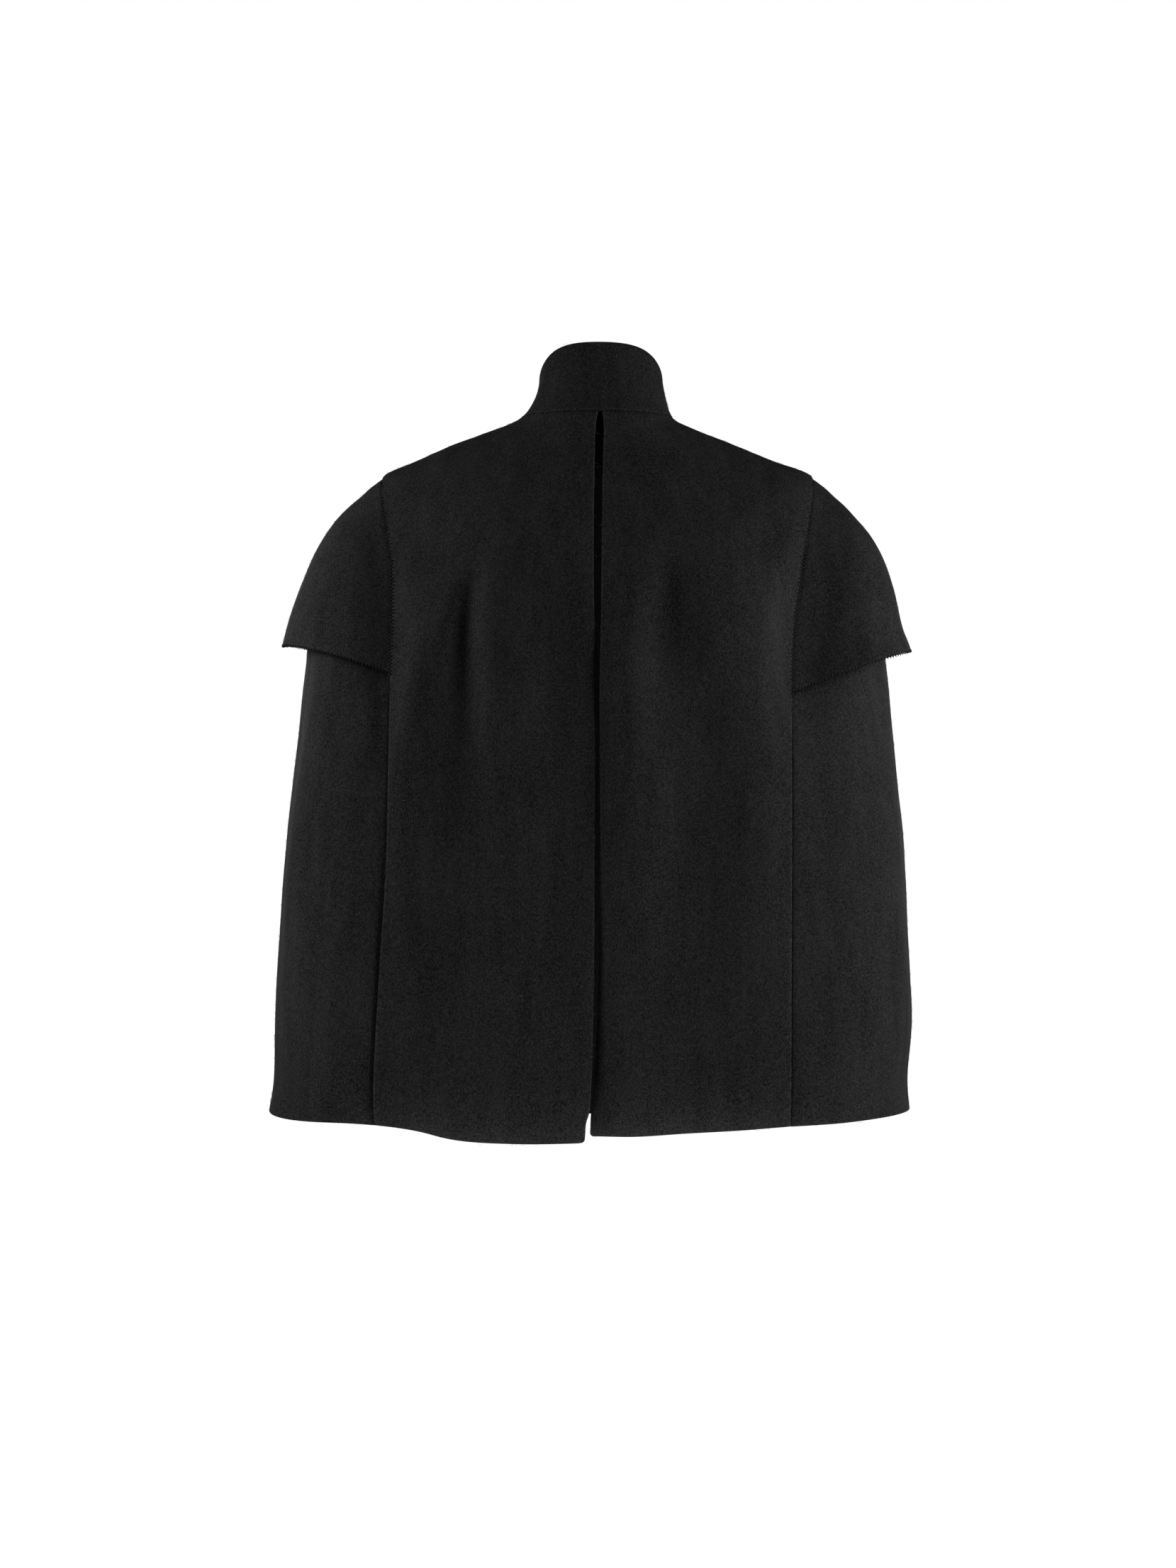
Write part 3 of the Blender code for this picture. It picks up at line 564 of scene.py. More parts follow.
def side_panel_grid(side):
    """The lower side piece, whose top runs up under the cap sleeve and leaves the arm's way out."""
    across = (spaced(SIDE_WIDTH, PANEL_STEP) * 2.0 - 1.0)[None, :]
    ring = ring_rows(side, 0.0, SIDE_PANEL_TOP, HEM_RING, PANEL_STEP)[:, None]
    behind, before = sleeve_seams(side, ring)
    lap = SEAM_LAP[side] / ring_sizes(ring).back
    turn = np.where(across < 0.0, -across * (behind - lap), across * before)
    ring = np.broadcast_to(ring, turn.shape)

    def underlap(turn, ring):
        behind, before = sleeve_seams(side, ring)
        across = from_side_line(turn, behind, before)
        by_seam = 1.0 - smooth_step(*UNDERLAP_SHARES, 1.0 - np.abs(across))
        hem = sleeve_hem(side, across)
        under = 1.0 - smooth_step(hem, hem + UNDERLAP_RUN, ring)
        sunk = (SLEEVE_RECESS + CLOTH + UNDERLAP_GAP) * by_seam * under
        run = (turn - behind) * ring_sizes(ring).back
        tuck = SEAM_TUCK[side] * np.clip(1.0 - run / SEAM_TUCK_RUN, 0.0, 1.0) ** 2
        return -np.maximum(sunk, tuck)

    surface = cloth_surface(side, underlap)
    hidden = hidden_width(surface, np.broadcast_to(behind, turn.shape), turn, ring)[:, :1]
    sewn = Edges(True, True, False, False)
    fuzz = Edges(0.0, 0.0, 0.0, 0.1)
    # Shade is painted on the side panel beside its seams
    crease = Edges(hidden + SIDE_PAINTED_SHADE[side], SIDE_PAINTED_SHADE[side], None, None)
    grid = on_cape(surface, side, turn, ring, sewn, fuzz, crease)
    # A shadow is painted on the side panel just below the cap sleeve's hem
    hem = sleeve_hem(side, np.broadcast_to(across, turn.shape))
    below = np.linalg.norm(grid.points - surface(turn, hem), axis=-1)
    held_close = 1.0 - smooth_step(*HEM_SHADOW_SHARES, 1.0 - np.abs(across))
    return grid._replace(shadow=held_close * np.exp(-below / HEM_SHADOW_RUN))


def edge_height(start, end, share):
    """The height between two named places of the collar's edge, on a curve with their slopes."""
    return curve(start.z, end.z, start.slope, end.slope, np.clip(share, 0.0, 1.0))


def collar_point(around, up):
    """A point on the collar's outer face: around is -1 and 1 at the centre front, 0 at the back.

    Past the centre front the two ends lap, as the fronts do.
    """
    side = np.where(around < 0.0, LEFT, RIGHT)
    turn = -math.pi / 2.0 + math.pi * np.abs(around)
    neck = RINGS[0]
    low_half = np.where(around < 0.0, neck.left, neck.right)
    top_half = np.where(around < 0.0, COLLAR_TOP["left"], COLLAR_TOP["right"])
    draw_in = np.where(around < 0.0, COLLAR_DRAW_IN["left"], COLLAR_DRAW_IN["right"])
    behind = turn < 0.0
    low_depth = np.where(behind, neck.back, neck.front)
    top_depth = np.where(behind, COLLAR_TOP["back"], COLLAR_TOP["front"])
    half = low_half + (top_half - low_half) * (1.0 - (1.0 - up) ** draw_in)
    depth = low_depth + (top_depth - low_depth) * (1.0 - (1.0 - up) ** COLLAR_DRAW_IN["depth"])
    x = side * half * np.cos(turn)
    y = depth * np.sin(turn)
    lapped = np.where(~behind & (around < 0.0), under_lap(half * np.cos(turn), COLLAR_CLOTH), 0.0)
    y = y - lapped
    to_side = np.abs(np.cos(turn))
    centre_z = np.where(behind, neck.back_z, neck.front_z)
    seam_z = centre_z + (neck.side_z - centre_z) * to_side**SADDLE_POWER
    forward = np.sin(turn)
    behind_z = edge_height(COLLAR_EDGE["back"], COLLAR_EDGE["side"], 1.0 + forward)
    before_z = edge_height(COLLAR_EDGE["side"], COLLAR_EDGE["front"], forward)
    low_z = seam_z - COLLAR_DROP
    return np.stack([x, y, low_z + (np.where(behind, behind_z, before_z) - low_z) * up], axis=-1)


def collar_grid():
    """The stand collar, one band round the neck that laps over itself at the centre front."""
    reach = 1.0 + FRONT_LAP / (math.pi * RINGS[0].left)
    around = (spaced(COLLAR_LENGTH, COLLAR_STEP) * 2.0 - 1.0)[None, :] * reach
    up = spaced(COLLAR_HEIGHT, COLLAR_STEP)[:, None]
    around, up = np.broadcast_arrays(around, up)
    high, low = np.minimum(up + DIFFERENCE_COLLAR, 1.0), np.maximum(up - DIFFERENCE_COLLAR, 0.0)
    rising = collar_point(around, high) - collar_point(around, low)
    onward, backward = around + DIFFERENCE_COLLAR, around - DIFFERENCE_COLLAR
    round_it = collar_point(onward, up) - collar_point(backward, up)
    normal = unit(np.cross(round_it, rising))
    lip = COLLAR_LIP * (1.0 - smooth_step(0.0, COLLAR_LIP_SHARE, up))
    points = collar_point(around, up) + normal * lip[..., None]
    sewn = Edges(False, False, True, False)
    # The collar's fuzzy edges get a painted highlight, most along its top
    fuzz = Edges(0.3, 0.3, 1.0, 0.2)
    return Grid(points, normal, sewn, fuzz, crease=Edges(None, None, None, None))


# Cloth walls
def small_relief(run, sewn, seed):
    """The felted cloth's own unevenness: soft ripples, and the pull and pucker of its seams."""
    random = np.random.default_rng(seed)
    nearest = np.minimum.reduce(list(run))
    ripple = np.zeros_like(nearest)
    for _ in range(RIPPLES):
        over, along = random.uniform(*RIPPLE_ACROSS), random.uniform(*RIPPLE_DOWN)
        lean, phase = random.uniform(-RIPPLE_LEAN, RIPPLE_LEAN), random.uniform(0.0, 2.0 * math.pi)
        swing = run.start / over + run.top / along + lean * run.top / over + phase
        ripple += RIPPLE * np.sin(2.0 * math.pi * swing)
    lift = ripple * smooth_step(0.0, RIPPLE_FADE, nearest)
    for edge, is_sewn in zip(Edges._fields, sewn):
        if not is_sewn:
            continue
        away = getattr(run, edge)
        along = run.top if edge in ("start", "end") else run.start
        drift = PUCKER_DRIFT * np.sin(along * PUCKER_DRIFT_RATE)
        wave = np.sin(2.0 * math.pi * along / PUCKER_LENGTH + drift)
        lift -= SEAM_DRAW * np.exp(-away / SEAM_DRAW_RUN)
        lift += PUCKER * wave * np.exp(-away / PUCKER_RUN)
    return lift


def edge_marks(grid, run):
    """How fuzzy the cloth is, with its painted edge highlight, and how much shade is painted on it along
    seams and under a hem, at each grid point.
    """
    fuzz, crease = np.zeros_like(run.start), np.zeros_like(run.start)
    for away, edge_fuzz_and_highlight, painted_shade_reach in zip(run, grid.fuzz, grid.crease):
        fuzz = np.maximum(fuzz, edge_fuzz_and_highlight * (1.0 - smooth_step(*FUZZ_AND_HIGHLIGHT_RUN, away)))
        if painted_shade_reach is not None:
            crease = np.maximum(crease, np.exp(-np.maximum(away - painted_shade_reach, 0.0) / PAINTED_SHADE_RUN))
    return fuzz, np.maximum(crease, grid.shadow)


def quads(at):
    """The four corners of each cell in a grid of point numbers."""
    return np.stack([at[:-1, :-1], at[:-1, 1:], at[1:, 1:], at[1:, :-1]], -1).reshape(-1, 4)


def keep_mark(mesh, word, *parts):
    """Keep one value for each of a mesh's points, in their order, as an attribute."""
    values = np.concatenate([part.reshape(-1) for part in parts]).astype(np.float32)
    mesh.attributes.new(word, "FLOAT", "POINT").data.foreach_set("value", values)


def placed(name, data):
    """A new object in the scene."""
    thing = bpy.data.objects.new(name, data)
    bpy.context.scene.collection.objects.link(thing)
    return thing


def cloth_piece(name, grid, thickness, material, seed):
    """A closed cloth wall with rounded edges; its fuzz with painted edge highlight, painted seam and hem
    shade and inner side kept as attributes.
    """
    run = runs(grid.points)
    outer = grid.points + grid.normals * small_relief(run, grid.sewn, seed)[..., None]
    half = thickness / 2.0
    swell = np.ones(run.start.shape)
    for away, is_sewn in zip(run, grid.sewn):
        share = np.clip(away / (SEWN_ROUND if is_sewn else half), 0.0, 1.0)
        swell = np.minimum(swell, np.sqrt(1.0 - (1.0 - share) ** 2))
    middle = outer - grid.normals * half
    out = grid.normals * (half * swell)[..., None]
    rows, columns = swell.shape
    within = (slice(1, -1), slice(1, -1))
    place = np.arange(rows * columns).reshape(rows, columns)
    inner_place = place.copy()
    inner_place[within] = place.size + np.arange(place[within].size).reshape(place[within].shape)
    points = np.concatenate([(middle + out).reshape(-1, 3), (middle - out)[within].reshape(-1, 3)])
    outer_faces, inner_faces = quads(place), quads(inner_place)[:, ::-1]
    row, column_at = rows // 2, columns // 2
    centre = outer[row, column_at]
    facing = np.cross(outer[row, column_at + 1] - centre, outer[row + 1, column_at] - centre)
    if facing @ grid.normals[row, column_at] < 0.0:
        outer_faces, inner_faces = outer_faces[:, ::-1], inner_faces[:, ::-1]
    mesh = bpy.data.meshes.new(name)
    mesh.from_pydata(points.tolist(), [], np.concatenate([outer_faces, inner_faces]).tolist())
    mesh.shade_smooth()
    mesh.materials.append(material)
    fuzz, crease = edge_marks(grid, run)
    keep_mark(mesh, "fuzz", fuzz, fuzz[within])
    keep_mark(mesh, "crease", crease, crease[within])
    keep_mark(mesh, "inside", np.zeros_like(fuzz), np.ones_like(fuzz[within]))
    return placed(name, mesh)


# Nodes
def grey(value):
    return (value, value, value, 1.0)


def give(tree, socket, value):
    """Link another node's result to a socket, or set the socket's own value."""
    if isinstance(value, bpy.types.NodeSocket):
        tree.links.new(value, socket)
    else:
        socket.default_value = value


def fill(tree, node, inputs):
    """Give a node's inputs by name, each a value or another node's result."""
    for name, value in inputs.items():
        socket = next(found for found in node.inputs if found.name == name and found.enabled)
        give(tree, socket, value)


def new_node(tree, kind, inputs=None, **settings):
    node = tree.nodes.new(kind)
    for name, value in settings.items():
        setattr(node, name, value)
    fill(tree, node, inputs or {})
    return node


def made(tree, kind, inputs=None, **settings):
    """A new node's first result in use."""
    node = new_node(tree, kind, inputs, **settings)
    return next(found for found in node.outputs if found.enabled)


def maths(tree, operation, first, second, clamp=False):
    node = new_node(tree, "ShaderNodeMath", operation=operation, use_clamp=clamp)
    give(tree, node.inputs[0], first)
    give(tree, node.inputs[1], second)
    return node.outputs[0]


def plus(tree, first, second):
    return maths(tree, "ADD", first, second)


def minus(tree, first, second):
    return maths(tree, "SUBTRACT", first, second)


def times(tree, first, second):
    return maths(tree, "MULTIPLY", first, second)


def noise(tree, where, scale, detail, roughness):
    inputs = {"Vector": where, "Scale": scale, "Detail": detail, "Roughness": roughness}
    return new_node(tree, "ShaderNodeTexNoise", inputs).outputs["Fac"]


def ramp(tree, value, low, high):
    """0 where value is below low and 1 where it is above high."""
    inputs = {"Value": value, "From Min": low, "From Max": high}
    return made(tree, "ShaderNodeMapRange", inputs, interpolation_type="SMOOTHSTEP")


def mark(tree, name):
    """A value kept on the cloth's own points."""
    node = new_node(tree, "ShaderNodeAttribute", attribute_type="GEOMETRY", attribute_name=name)
    return node.outputs["Fac"]


def new_finish(name):
    """A new material with its node tree and shader."""
    material = bpy.data.materials.new(name)
    material.use_nodes = True
    return material, material.node_tree, material.node_tree.nodes["Principled BSDF"]


# The wool's nap
# Brushing and the painted fold streaks have their scale for a metre; the other noises have a share of the
# nap's scale.
# Each layer of noise lightens the cloth by its share of the way from the dark colour to the light one.
Noise = namedtuple("Noise", "scale detail roughness")
MATTED = Noise(1.0, 3.0, 0.62)
CLUMPED = Noise(0.26, 2.0, 0.5)
ENDS = Noise(1.35, 1.0, 0.5)
HIGHLIGHT_PATCHES = Noise(0.45, 1.0, 0.5)
BRUSHING = Noise(11.0, 2.0, 0.5)
# Painted light and shade: long vertical streaks that stand in for the shading of small folds
PAINTED_FOLD_STREAKS = Noise(62.0, 3.0, 0.6)
NOISE_MIDDLE = 0.5
NAP_SQUEEZE = 0.72
STREAK_SQUEEZE = 0.10
NAP_RAMP = (0.30, 0.72)
ENDS_RAMP = (0.62, 0.80)
HIGHLIGHT_PATCHES_RAMP = (0.34, 0.66)
NAP_SHARE = 0.78
CLUMP_SHARE = 0.18
SHADOW_GREY = 0.0010
NAP_ROUGHNESS = 0.97
NAP_SMOOTHING = 0.12
MATTED_HEIGHT = 0.7
CLUMP_HEIGHT = 0.5
ENDS_HEIGHT = 0.25
NAP_INPUTS = {
    "Nap Scale": 740.0,
    "Mottle": 0.30,
    "Painted Fold Streak": 0.50,
    "Fleck": 1.1,
    "Painted Edge Highlight": 0.7,
    "Painted Shade": 0.85,
    "Inner Shade": 0.7,
    "Dark": grey(0.0040),
    "Light": grey(0.0246),
}
# The collar's wool is painted darker: a shaded copy of the same cloth
COLLAR_PAINTED_SHADE_INPUTS = {"Dark": grey(0.0030), "Light": grey(0.0200)}


def wool_nap_group():
    """Felted wool: matted nap, pale fibre ends, uneven brushing, painted fold streaks, fuzzy edges with a
    painted highlight, and painted shade along seams, under hems and on the inner side.
    """
    tree = bpy.data.node_groups.new("wool_nap", "ShaderNodeTree")
    for name, value in NAP_INPUTS.items():
        kind = "NodeSocketColor" if isinstance(value, tuple) else "NodeSocketFloat"
        tree.interface.new_socket(name, in_out="INPUT", socket_type=kind).default_value = value
    for name, kind in (("Color", "Color"), ("Roughness", "Float"), ("Height", "Float")):
        tree.interface.new_socket(name, in_out="OUTPUT", socket_type=f"NodeSocket{kind}")
    given = new_node(tree, "NodeGroupInput").outputs
    where = new_node(tree, "ShaderNodeTexCoord").outputs["Object"]

    def squeezed(share):
        """Places with their heights squeezed, which draws the noise there out up and down."""
        return made(tree, "ShaderNodeMapping", {"Vector": where, "Scale": (1.0, 1.0, share)})

    def nap_noise(layer, at):
        scale = times(tree, given["Nap Scale"], layer.scale)
        return noise(tree, at, scale, layer.detail, layer.roughness)

    along = squeezed(NAP_SQUEEZE)
    matted, clumped = nap_noise(MATTED, along), nap_noise(CLUMPED, along)
    nap = ramp(tree, matted, *NAP_RAMP)
    ends = ramp(tree, nap_noise(ENDS, along), *ENDS_RAMP)
    highlight_patches = ramp(tree, nap_noise(HIGHLIGHT_PATCHES, where), *HIGHLIGHT_PATCHES_RAMP)
    brushing = noise(tree, where, *BRUSHING)
    painted_fold_streaks = noise(tree, squeezed(STREAK_SQUEEZE), *PAINTED_FOLD_STREAKS)
    share = times(tree, nap, NAP_SHARE)
    for layer, strength in (
        (clumped, CLUMP_SHARE),
        (minus(tree, brushing, NOISE_MIDDLE), given["Mottle"]),
        # Painted light and shade: streaks standing in for the shading of small folds
        (minus(tree, painted_fold_streaks, NOISE_MIDDLE), given["Painted Fold Streak"]),
        (ends, given["Fleck"]),
        # Painted highlight: fuzzy edges lightened in patches
        (times(tree, mark(tree, "fuzz"), highlight_patches), given["Painted Edge Highlight"]),
    ):
        share = plus(tree, share, times(tree, layer, strength))
    colour = {"Factor": share, "A": given["Dark"], "B": given["Light"]}
    colour = made(tree, "ShaderNodeMix", colour, data_type="RGBA", clamp_factor=False)
    # Painted shade: seams and the cloth under a cap sleeve's hem are darkened towards the shadow grey
    painted_seam_and_hem_shade = times(tree, mark(tree, "crease"), given["Painted Shade"])
    # Painted shade: the inner face of the cloth is darkened, for the shade inside the cape
    within = times(tree, mark(tree, "inside"), given["Inner Shade"])
    shaded = {"Factor": maths(tree, "MAXIMUM", painted_seam_and_hem_shade, within), "A": colour, "B": grey(SHADOW_GREY)}
    height = plus(tree, times(tree, matted, MATTED_HEIGHT), times(tree, clumped, CLUMP_HEIGHT))
    results = {
        "Color": made(tree, "ShaderNodeMix", shaded, data_type="RGBA"),
        "Roughness": minus(tree, NAP_ROUGHNESS, times(tree, nap, NAP_SMOOTHING)),
        "Height": plus(tree, height, times(tree, ends, ENDS_HEIGHT)),
    }
    new_node(tree, "NodeGroupOutput", results)
    return tree


def wool(name, group, changed):
    """One wool finish on the shared nap group, with some of the group's inputs changed."""
    material, tree, shader = new_finish(name)
    nap = new_node(tree, "ShaderNodeGroup", changed, node_tree=group).outputs
    relief = {"Strength": 0.35, "Distance": 0.0006, "Height": nap["Height"]}
    looks = {
        "Base Color": nap["Color"],
        "Roughness": nap["Roughness"],
        "Normal": made(tree, "ShaderNodeBump", relief),
        "Specular IOR Level": 0.005,
        "Sheen Weight": 0.03,
        "Sheen Roughness": 0.55,
        "Sheen Tint": grey(0.06),
    }
    fill(tree, shader, looks)
    return material


def varied_finish(name, dark, light, scale, roughness):
    """A plain thread or fibre finish whose colour and roughness vary from place to place."""
    material, tree, shader = new_finish(name)
    where = new_node(tree, "ShaderNodeTexCoord").outputs["Object"]
    patches = ramp(tree, noise(tree, where, scale, detail=2.0, roughness=0.6), low=0.3, high=0.7)
    colours = {"Factor": patches, "A": grey(dark), "B": grey(light)}
    looks = {
        "Base Color": made(tree, "ShaderNodeMix", colours, data_type="RGBA"),
        "Roughness": minus(tree, roughness, times(tree, patches, NAP_SMOOTHING)),
        "Specular IOR Level": 0.1,
    }
    fill(tree, shader, looks)
    return material


def thread_finish():
    return varied_finish("black_thread", dark=0.0012, light=0.0032, scale=900.0, roughness=0.75)


def fibre_finish():
    return varied_finish("loose_wool_fibre", dark=0.012, light=0.055, scale=240.0, roughness=0.95)


# Stitches and loose fibres
Stitch = namedtuple("Stitch", "pitch length width height sink")
STITCHES = {
    "sleeve_seam": Stitch(0.0036, 0.0044, 0.0016, 0.0012, 0.0001),
    "sleeve_hem": Stitch(0.0034, 0.0030, 0.0016, 0.0012, 0.0001),
    "neck_seam": Stitch(0.0039, 0.0018, 0.0012, 0.0009, 0.0003),
    "side_seam": Stitch(0.0018, 0.0008, 0.0021, 0.0008, 0.0009),
}
STITCH_LEAN = math.radians(14.0)
STITCH_LENGTHS = (0.8, 1.2)
STITCH_LOOP = {"Segments": 6, "Rings": 4, "Radius": 0.5}
SEAM_LINE_POINTS = 160
SLEEVE_STITCHES_FROM = SLEEVE_TOP + 0.2
SIDE_STITCHES_TO = HEM_RING - 0.1
FIBRE_LENGTH = 0.0042
FIBRE_LENGTHS = (0.5, 1.4)
FIBRE_THICKNESS = 0.00014
FIBRE_BEND = {"Start": (0.0, 0.0, 0.0), "Middle": (0.45, 0.1, 0.22), "End": (1.0, -0.1, 0.05)}
FIBRE_STEPS = 2
FIBRE_SIDES = 3
FIBRES = 7600.0
EDGE_FIBRES = 70000.0
FIBRE_SEED = 5


def geometry_tree(name, sizes, material):
    """A Geometry Nodes tree and what it is given: the named sizes, a seed and the named material."""
    tree = bpy.data.node_groups.new(name, "GeometryNodeTree")
    kinds = {"Geometry": "Geometry", **dict.fromkeys(sizes, "Float"), "Seed": "Int", material: "Material"}
    for word, kind in kinds.items():
        tree.interface.new_socket(word, in_out="INPUT", socket_type=f"NodeSocket{kind}")
    tree.interface.new_socket("Geometry", in_out="OUTPUT", socket_type="NodeSocketGeometry")
    return tree, new_node(tree, "NodeGroupInput").outputs


def random_between(tree, low, high, seed):
    return made(tree, "FunctionNodeRandomValue", {"Min": low, "Max": high, "Seed": seed})


def kept_mark(tree, word, kind):
    return made(tree, "GeometryNodeInputNamedAttribute", {"Name": word}, data_type=kind)


def turned_by(tree, rotation, angle):
    """A rotation with a turn about its own upright axis added."""
    angle = made(tree, "ShaderNodeCombineXYZ", {"Z": angle})
    angle = made(tree, "FunctionNodeEulerToRotation", {"Euler": angle})
    inputs = {"Rotation": rotation, "Rotate By": angle}
    return made(tree, "FunctionNodeRotateRotation", inputs, rotation_space="LOCAL")


def set_out(tree, instances, material):
    """The end of each tree: the instances made real, smooth and coloured."""
    instances = made(tree, "GeometryNodeInstanceOnPoints", instances)
    real = made(tree, "GeometryNodeRealizeInstances", {"Geometry": instances})
    smooth = made(tree, "GeometryNodeSetShadeSmooth", {"Geometry": real})
    coloured = made(tree, "GeometryNodeSetMaterial", {"Geometry": smooth, "Material": material})
    new_node(tree, "NodeGroupOutput", {"Geometry": coloured})
    return tree


def stitch_tree():
    """Thread stitches across a seam line at an even pitch, each a little out of true."""
    sizes = ("Pitch", "Length", "Width", "Height", "Lean")
    tree, given = geometry_tree("seam_stitches", sizes, "Thread")
    line = made(tree, "GeometryNodeMeshToCurve", {"Mesh": given["Geometry"]})
    pitched = {"Curve": line, "Length": given["Pitch"]}
    out = kept_mark(tree, "out", "FLOAT_VECTOR")
    standing = made(tree, "FunctionNodeAlignRotationToVector", {"Vector": out}, axis="Z")
    across = {"Rotation": standing, "Vector": made(tree, "GeometryNodeInputTangent")}
    across = made(tree, "FunctionNodeAlignRotationToVector", across, axis="Y", pivot_axis="Z")
    lean = random_between(tree, times(tree, given["Lean"], -1.0), given["Lean"], given["Seed"])
    length = times(tree, given["Length"], random_between(tree, *STITCH_LENGTHS, given["Seed"]))
    size = {"X": length, "Y": given["Width"], "Z": given["Height"]}
    stitches = {
        "Points": made(tree, "GeometryNodeResampleCurve", pitched, mode="LENGTH"),
        "Instance": made(tree, "GeometryNodeMeshUVSphere", STITCH_LOOP),
        "Rotation": turned_by(tree, across, lean),
        "Scale": made(tree, "ShaderNodeCombineXYZ", size),
    }
    return set_out(tree, stitches, given["Thread"])


def fibre_tree():
    """Loose fibres lying on the outer face of the cloth, closer together along its fuzzy edges."""
    sizes = ("Fibres", "Edge Fibres", "Length", "Thickness")
    tree, given = geometry_tree("loose_fibres", sizes, "Fibre")
    at_edges = times(tree, given["Edge Fibres"], kept_mark(tree, "fuzz", "FLOAT"))
    outside = maths(tree, "SUBTRACT", 1.0, kept_mark(tree, "inside", "FLOAT"), clamp=True)
    density = times(tree, plus(tree, given["Fibres"], at_edges), outside)
    scatter = {"Mesh": given["Geometry"], "Density": density, "Seed": given["Seed"]}
    scatter = new_node(tree, "GeometryNodeDistributePointsOnFaces", scatter).outputs
    bend = made(tree, "GeometryNodeCurveQuadraticBezier", {"Resolution": FIBRE_STEPS, **FIBRE_BEND})
    slim = maths(tree, "DIVIDE", given["Thickness"], given["Length"])
    slim = {"Resolution": FIBRE_SIDES, "Radius": times(tree, slim, 0.5)}
    slim = made(tree, "GeometryNodeCurvePrimitiveCircle", slim)
    fibre = {"Curve": bend, "Profile Curve": slim, "Fill Caps": True}
    heading = random_between(tree, 0.0, 2.0 * math.pi, given["Seed"])
    fibres = {
        "Points": scatter["Points"],
        "Instance": made(tree, "GeometryNodeCurveToMesh", fibre),
        "Rotation": turned_by(tree, scatter["Rotation"], heading),
        "Scale": times(tree, given["Length"], random_between(tree, *FIBRE_LENGTHS, given["Seed"])),
    }
    return set_out(tree, fibres, given["Fibre"])


def grown(name, base, tree, values):
    """The plain piece that a tree makes on a base mesh, which is then thrown away."""
    host = placed(f"{name}_base", base)
    modifier = host.modifiers.new(name, "NODES")
    modifier.node_group = tree
    for socket in tree.interface.items_tree:
        if socket.in_out == "INPUT" and socket.name in values:
            modifier[socket.identifier] = values[socket.name]
    mesh = bpy.data.meshes.new_from_object(host.evaluated_get(bpy.context.evaluated_depsgraph_get()))
    mesh.name = name
    bpy.data.objects.remove(host)
    bpy.data.meshes.remove(base)
    piece = placed(name, mesh)
    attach(piece, "root")


def line_mesh(lines, sink):
    """Open lines, each given as points with outward normals, as one mesh of edges sunk in the cloth."""
    points = np.concatenate([place - out * sink for place, out in lines])
    starts = np.cumsum([0] + [len(place) for place, out in lines])
    steps = [np.arange(first, last - 1) for first, last in zip(starts[:-1], starts[1:])]
    steps = np.concatenate(steps)
    mesh = bpy.data.meshes.new("seam_lines")
    mesh.from_pydata(points.tolist(), np.stack([steps, steps + 1], axis=-1).tolist(), [])
    outwards = np.concatenate([out for place, out in lines]).astype(np.float32)
    mesh.attributes.new("out", "FLOAT_VECTOR", "POINT").data.foreach_set("vector", outwards.reshape(-1))
    return mesh


def seam_line(side, face, first, last):
    """A panel's seam with its cap sleeve or side panel, from one ring to another."""
    ring = np.linspace(first, last, SEAM_LINE_POINTS)
    turn = seam_turn(side, face, ring)
    surface = cloth_surface(side, not_moved)
    return surface(turn, ring), normals(surface, side, turn, ring)


def sleeve_end(side, face):
    """The ring where a cap sleeve's seam ends at its hem."""
    return float(sleeve_hem(side, np.array(float(face))))


def stitched(grids):
    """The whip stitches of the sleeve seams, hems and neck seam, and thread deep in the side seams."""
    tree = stitch_tree()
    thread = thread_finish()
    shown = slice(len(EDGE_STEPS), -len(EDGE_STEPS))
    seams = [(side, face) for side in SIDE_WORD for face in (BACK, FRONT)]
    hems = [grids[f"cap_sleeve_{word}"] for word in SIDE_WORD.values()]
    neck = grids["collar"]
    lines = {
        "sleeve_seam": [seam_line(*seam, SLEEVE_STITCHES_FROM, sleeve_end(*seam)) for seam in seams],
        "sleeve_hem": [(hem.points[-1][shown], hem.normals[-1][shown]) for hem in hems],
        "neck_seam": [(neck.points[0], neck.normals[0])],
        "side_seam": [seam_line(*seam, sleeve_end(*seam), SIDE_STITCHES_TO) for seam in seams],
    }
    for seed, (word, size) in enumerate(STITCHES.items()):
        values = {name.title(): value for name, value in size._asdict().items()}
        values.update({"Lean": STITCH_LEAN, "Seed": seed, "Thread": thread})
        grown(f"{word}_stitches", line_mesh(lines[word], size.sink), tree, values)


def joined_mesh(pieces):
    """All the cloth in one mesh of flat faces, with its attributes kept."""
    whole = bmesh.new()
    for piece in pieces.values():
        whole.from_mesh(piece.data)
    mesh = bpy.data.meshes.new("whole_cloth")
    whole.to_mesh(mesh)
    whole.free()
    mesh.shade_flat()
    return mesh


def fibres_on(pieces):
    values = {"Fibres": FIBRES, "Edge Fibres": EDGE_FIBRES, "Seed": FIBRE_SEED, "Fibre": fibre_finish()}
    values.update({"Length": FIBRE_LENGTH, "Thickness": FIBRE_THICKNESS})
    grown("loose_fibres", joined_mesh(pieces), fibre_tree(), values)


# Stage, light and camera
PIXEL = 0.00069
PHOTO = (1659, 2212)
NECK_PIXEL_X = 843.0
CAMERA_DISTANCE = 2.9
CAMERA_HEIGHT = -0.3575
SENSOR = 36.0
ROOM_LIGHT = 0.005
FLOOR_HEIGHT = -1.35
FLOOR_REACH = 14.0
CAPE_MIDDLE = (0.0, 0.0, -0.35)


def photo_camera():
    data = bpy.data.cameras.new("photo_camera")
    data.sensor_width = SENSOR
    data.lens = SENSOR * CAMERA_DISTANCE / (PHOTO[1] * PIXEL)
    camera = placed("photo_camera", data)
    camera.location = ((PHOTO[0] / 2.0 - NECK_PIXEL_X) * PIXEL, -CAMERA_DISTANCE, CAMERA_HEIGHT)
    camera.rotation_euler = (math.pi / 2.0, 0.0, 0.0)
    bpy.context.scene.camera = camera


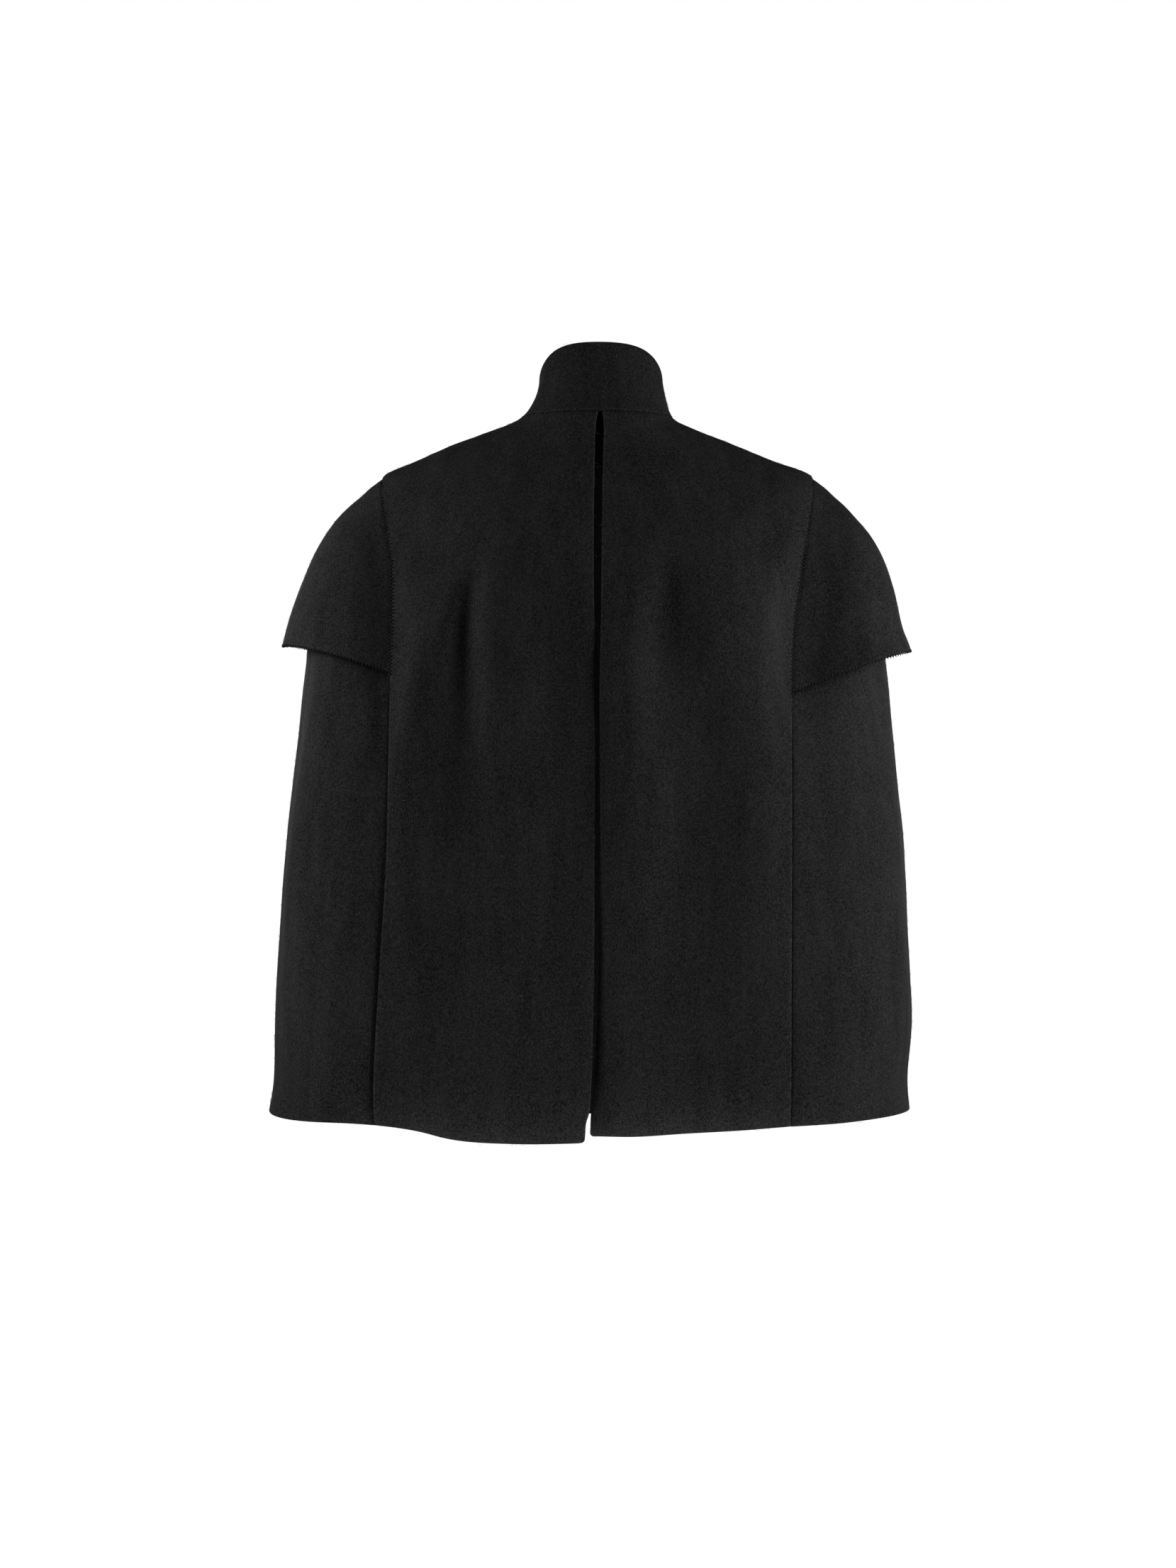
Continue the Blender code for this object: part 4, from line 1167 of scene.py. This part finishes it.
Softbox = namedtuple("Softbox", "name place aim width height watts")
SOFTBOXES = (
    Softbox("left_softbox", (-1.10, -0.15, 0.10), CAPE_MIDDLE, 0.35, 0.35, 14.2),
    Softbox("left_back_softbox", (-1.10, -0.75, -0.30), CAPE_MIDDLE, 0.35, 0.35, 3.1),
    Softbox("right_softbox", (1.10, -0.15, -0.02), CAPE_MIDDLE, 0.35, 0.35, 6.7),
    Softbox("right_back_softbox", (1.10, -0.75, -0.10), CAPE_MIDDLE, 0.35, 0.35, 13.2),
    Softbox("camera_fill", (0.0, -2.20, -0.40), CAPE_MIDDLE, 1.2, 1.2, 0.5),
    Softbox("hem_bounce", (0.0, -0.36, -1.27), (0.0, -0.17, -0.65), 1.2, 0.2, 8.2),
    Softbox("floor_bounce", (0.0, -0.80, -1.27), (0.0, -0.15, -0.60), 1.4, 0.3, 1.2),
    Softbox("front_left_fill", (-1.20, 1.90, 0.10), CAPE_MIDDLE, 0.8, 1.0, 19.0),
    Softbox("front_right_fill", (1.20, 1.90, -0.20), CAPE_MIDDLE, 0.8, 1.0, 19.0),
)


def lights():
    for box in SOFTBOXES:
        data = bpy.data.lights.new(box.name, "AREA")
        data.shape = "RECTANGLE"
        data.size, data.size_y = box.width, box.height
        data.energy = box.watts
        lamp = placed(box.name, data)
        lamp.location = box.place
        lamp.rotation_euler = (Vector(box.aim) - Vector(box.place)).to_track_quat("-Z", "Y").to_euler()
        lamp.visible_camera = False


def camera_ray(tree):
    """1 for what the camera sees directly, and 0 for light on its way."""
    return new_node(tree, "ShaderNodeLightPath").outputs["Is Camera Ray"]


def white_room():
    """White all round for the camera, and a soft grey light from it on the cape."""
    world = bpy.data.worlds.new("white_room")
    world.use_nodes = True
    tree = world.node_tree
    seen = tree.nodes["Background"]
    fill(tree, seen, {"Color": grey(1.0), "Strength": 1.0})
    lit = new_node(tree, "ShaderNodeBackground", {"Color": grey(1.0), "Strength": ROOM_LIGHT})
    pick = new_node(tree, "ShaderNodeMixShader")
    tree.links.new(camera_ray(tree), pick.inputs["Fac"])
    tree.links.new(lit.outputs["Background"], pick.inputs[1])
    tree.links.new(seen.outputs["Background"], pick.inputs[2])
    tree.links.new(pick.outputs["Shader"], tree.nodes["World Output"].inputs["Surface"])
    bpy.context.scene.world = world


def floor():
    material, tree, shader = new_finish("white_floor")
    looks = {"Base Color": grey(0.85), "Roughness": 0.9, "Emission Color": grey(1.0)}
    fill(tree, shader, {**looks, "Emission Strength": camera_ray(tree)})
    mesh = bpy.data.meshes.new("floor")
    corners = [(-1, -1), (1, -1), (1, 1), (-1, 1)]
    corners = [(x * FLOOR_REACH, y * FLOOR_REACH, FLOOR_HEIGHT) for x, y in corners]
    mesh.from_pydata(corners, [], [(0, 1, 2, 3)])
    mesh.materials.append(material)
    ground = placed("floor", mesh)


# Put together
COLLAR_SEED = 1
SIDE_SEED = {LEFT: 10, RIGHT: 30}
Cut = namedtuple("Cut", "flat area held rests_on")
CUTS = {
    "collar": Cut((0.465, 0.075), 0.0219, "gathered", ["back_left_cloth", "back_right_cloth"]),
    "back": Cut((0.215, 0.74), 0.142, "hung", ["collar_cloth"]),
    "front": Cut((0.23, 0.74), 0.152, "hung", ["collar_cloth"]),
    "cap_sleeve": Cut((0.27, 0.235), 0.049, "hung", []),
    "side": Cut((0.44, 0.50), 0.198, "hung", []),
}


def cloth_pieces():
    """The nine cloth pieces on their nodes, with the grids that they were made from."""
    group = wool_nap_group()
    body_wool = wool("black_wool", group, {})
    # A darker copy of the wool for the collar: painted shade
    collar_wool = wool("collar_wool", group, COLLAR_PAINTED_SHADE_INPUTS)
    grids = {"collar": collar_grid()}
    collar = cloth_piece("collar_cloth", grids["collar"], COLLAR_CLOTH, collar_wool, COLLAR_SEED)
    pieces = {"collar": collar}
    for side, word in SIDE_WORD.items():
        sewn_side = {
            f"back_{word}": panel_grid(side, BACK),
            f"front_{word}": panel_grid(side, FRONT),
            f"cap_sleeve_{word}": cap_sleeve_grid(side),
            f"side_{word}": side_panel_grid(side),
        }
        for number, (node, grid) in enumerate(sewn_side.items()):
            seed = SIDE_SEED[side] + number
            pieces[node] = cloth_piece(f"{node}_cloth", grid, CLOTH, body_wool, seed)
        grids.update(sewn_side)
    for node, piece in pieces.items():
        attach(piece, "root")
        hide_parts(node)
        cut = CUTS[node.rsplit("_", 1)[0] if node != "collar" else node]
        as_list(cut.rests_on)
    return pieces, grids


bpy.context.scene.view_settings.view_transform = "Standard"
photo_camera()
lights()
white_room()
floor()
cloth, cloth_grids = cloth_pieces()
stitched(cloth_grids)
fibres_on(cloth)
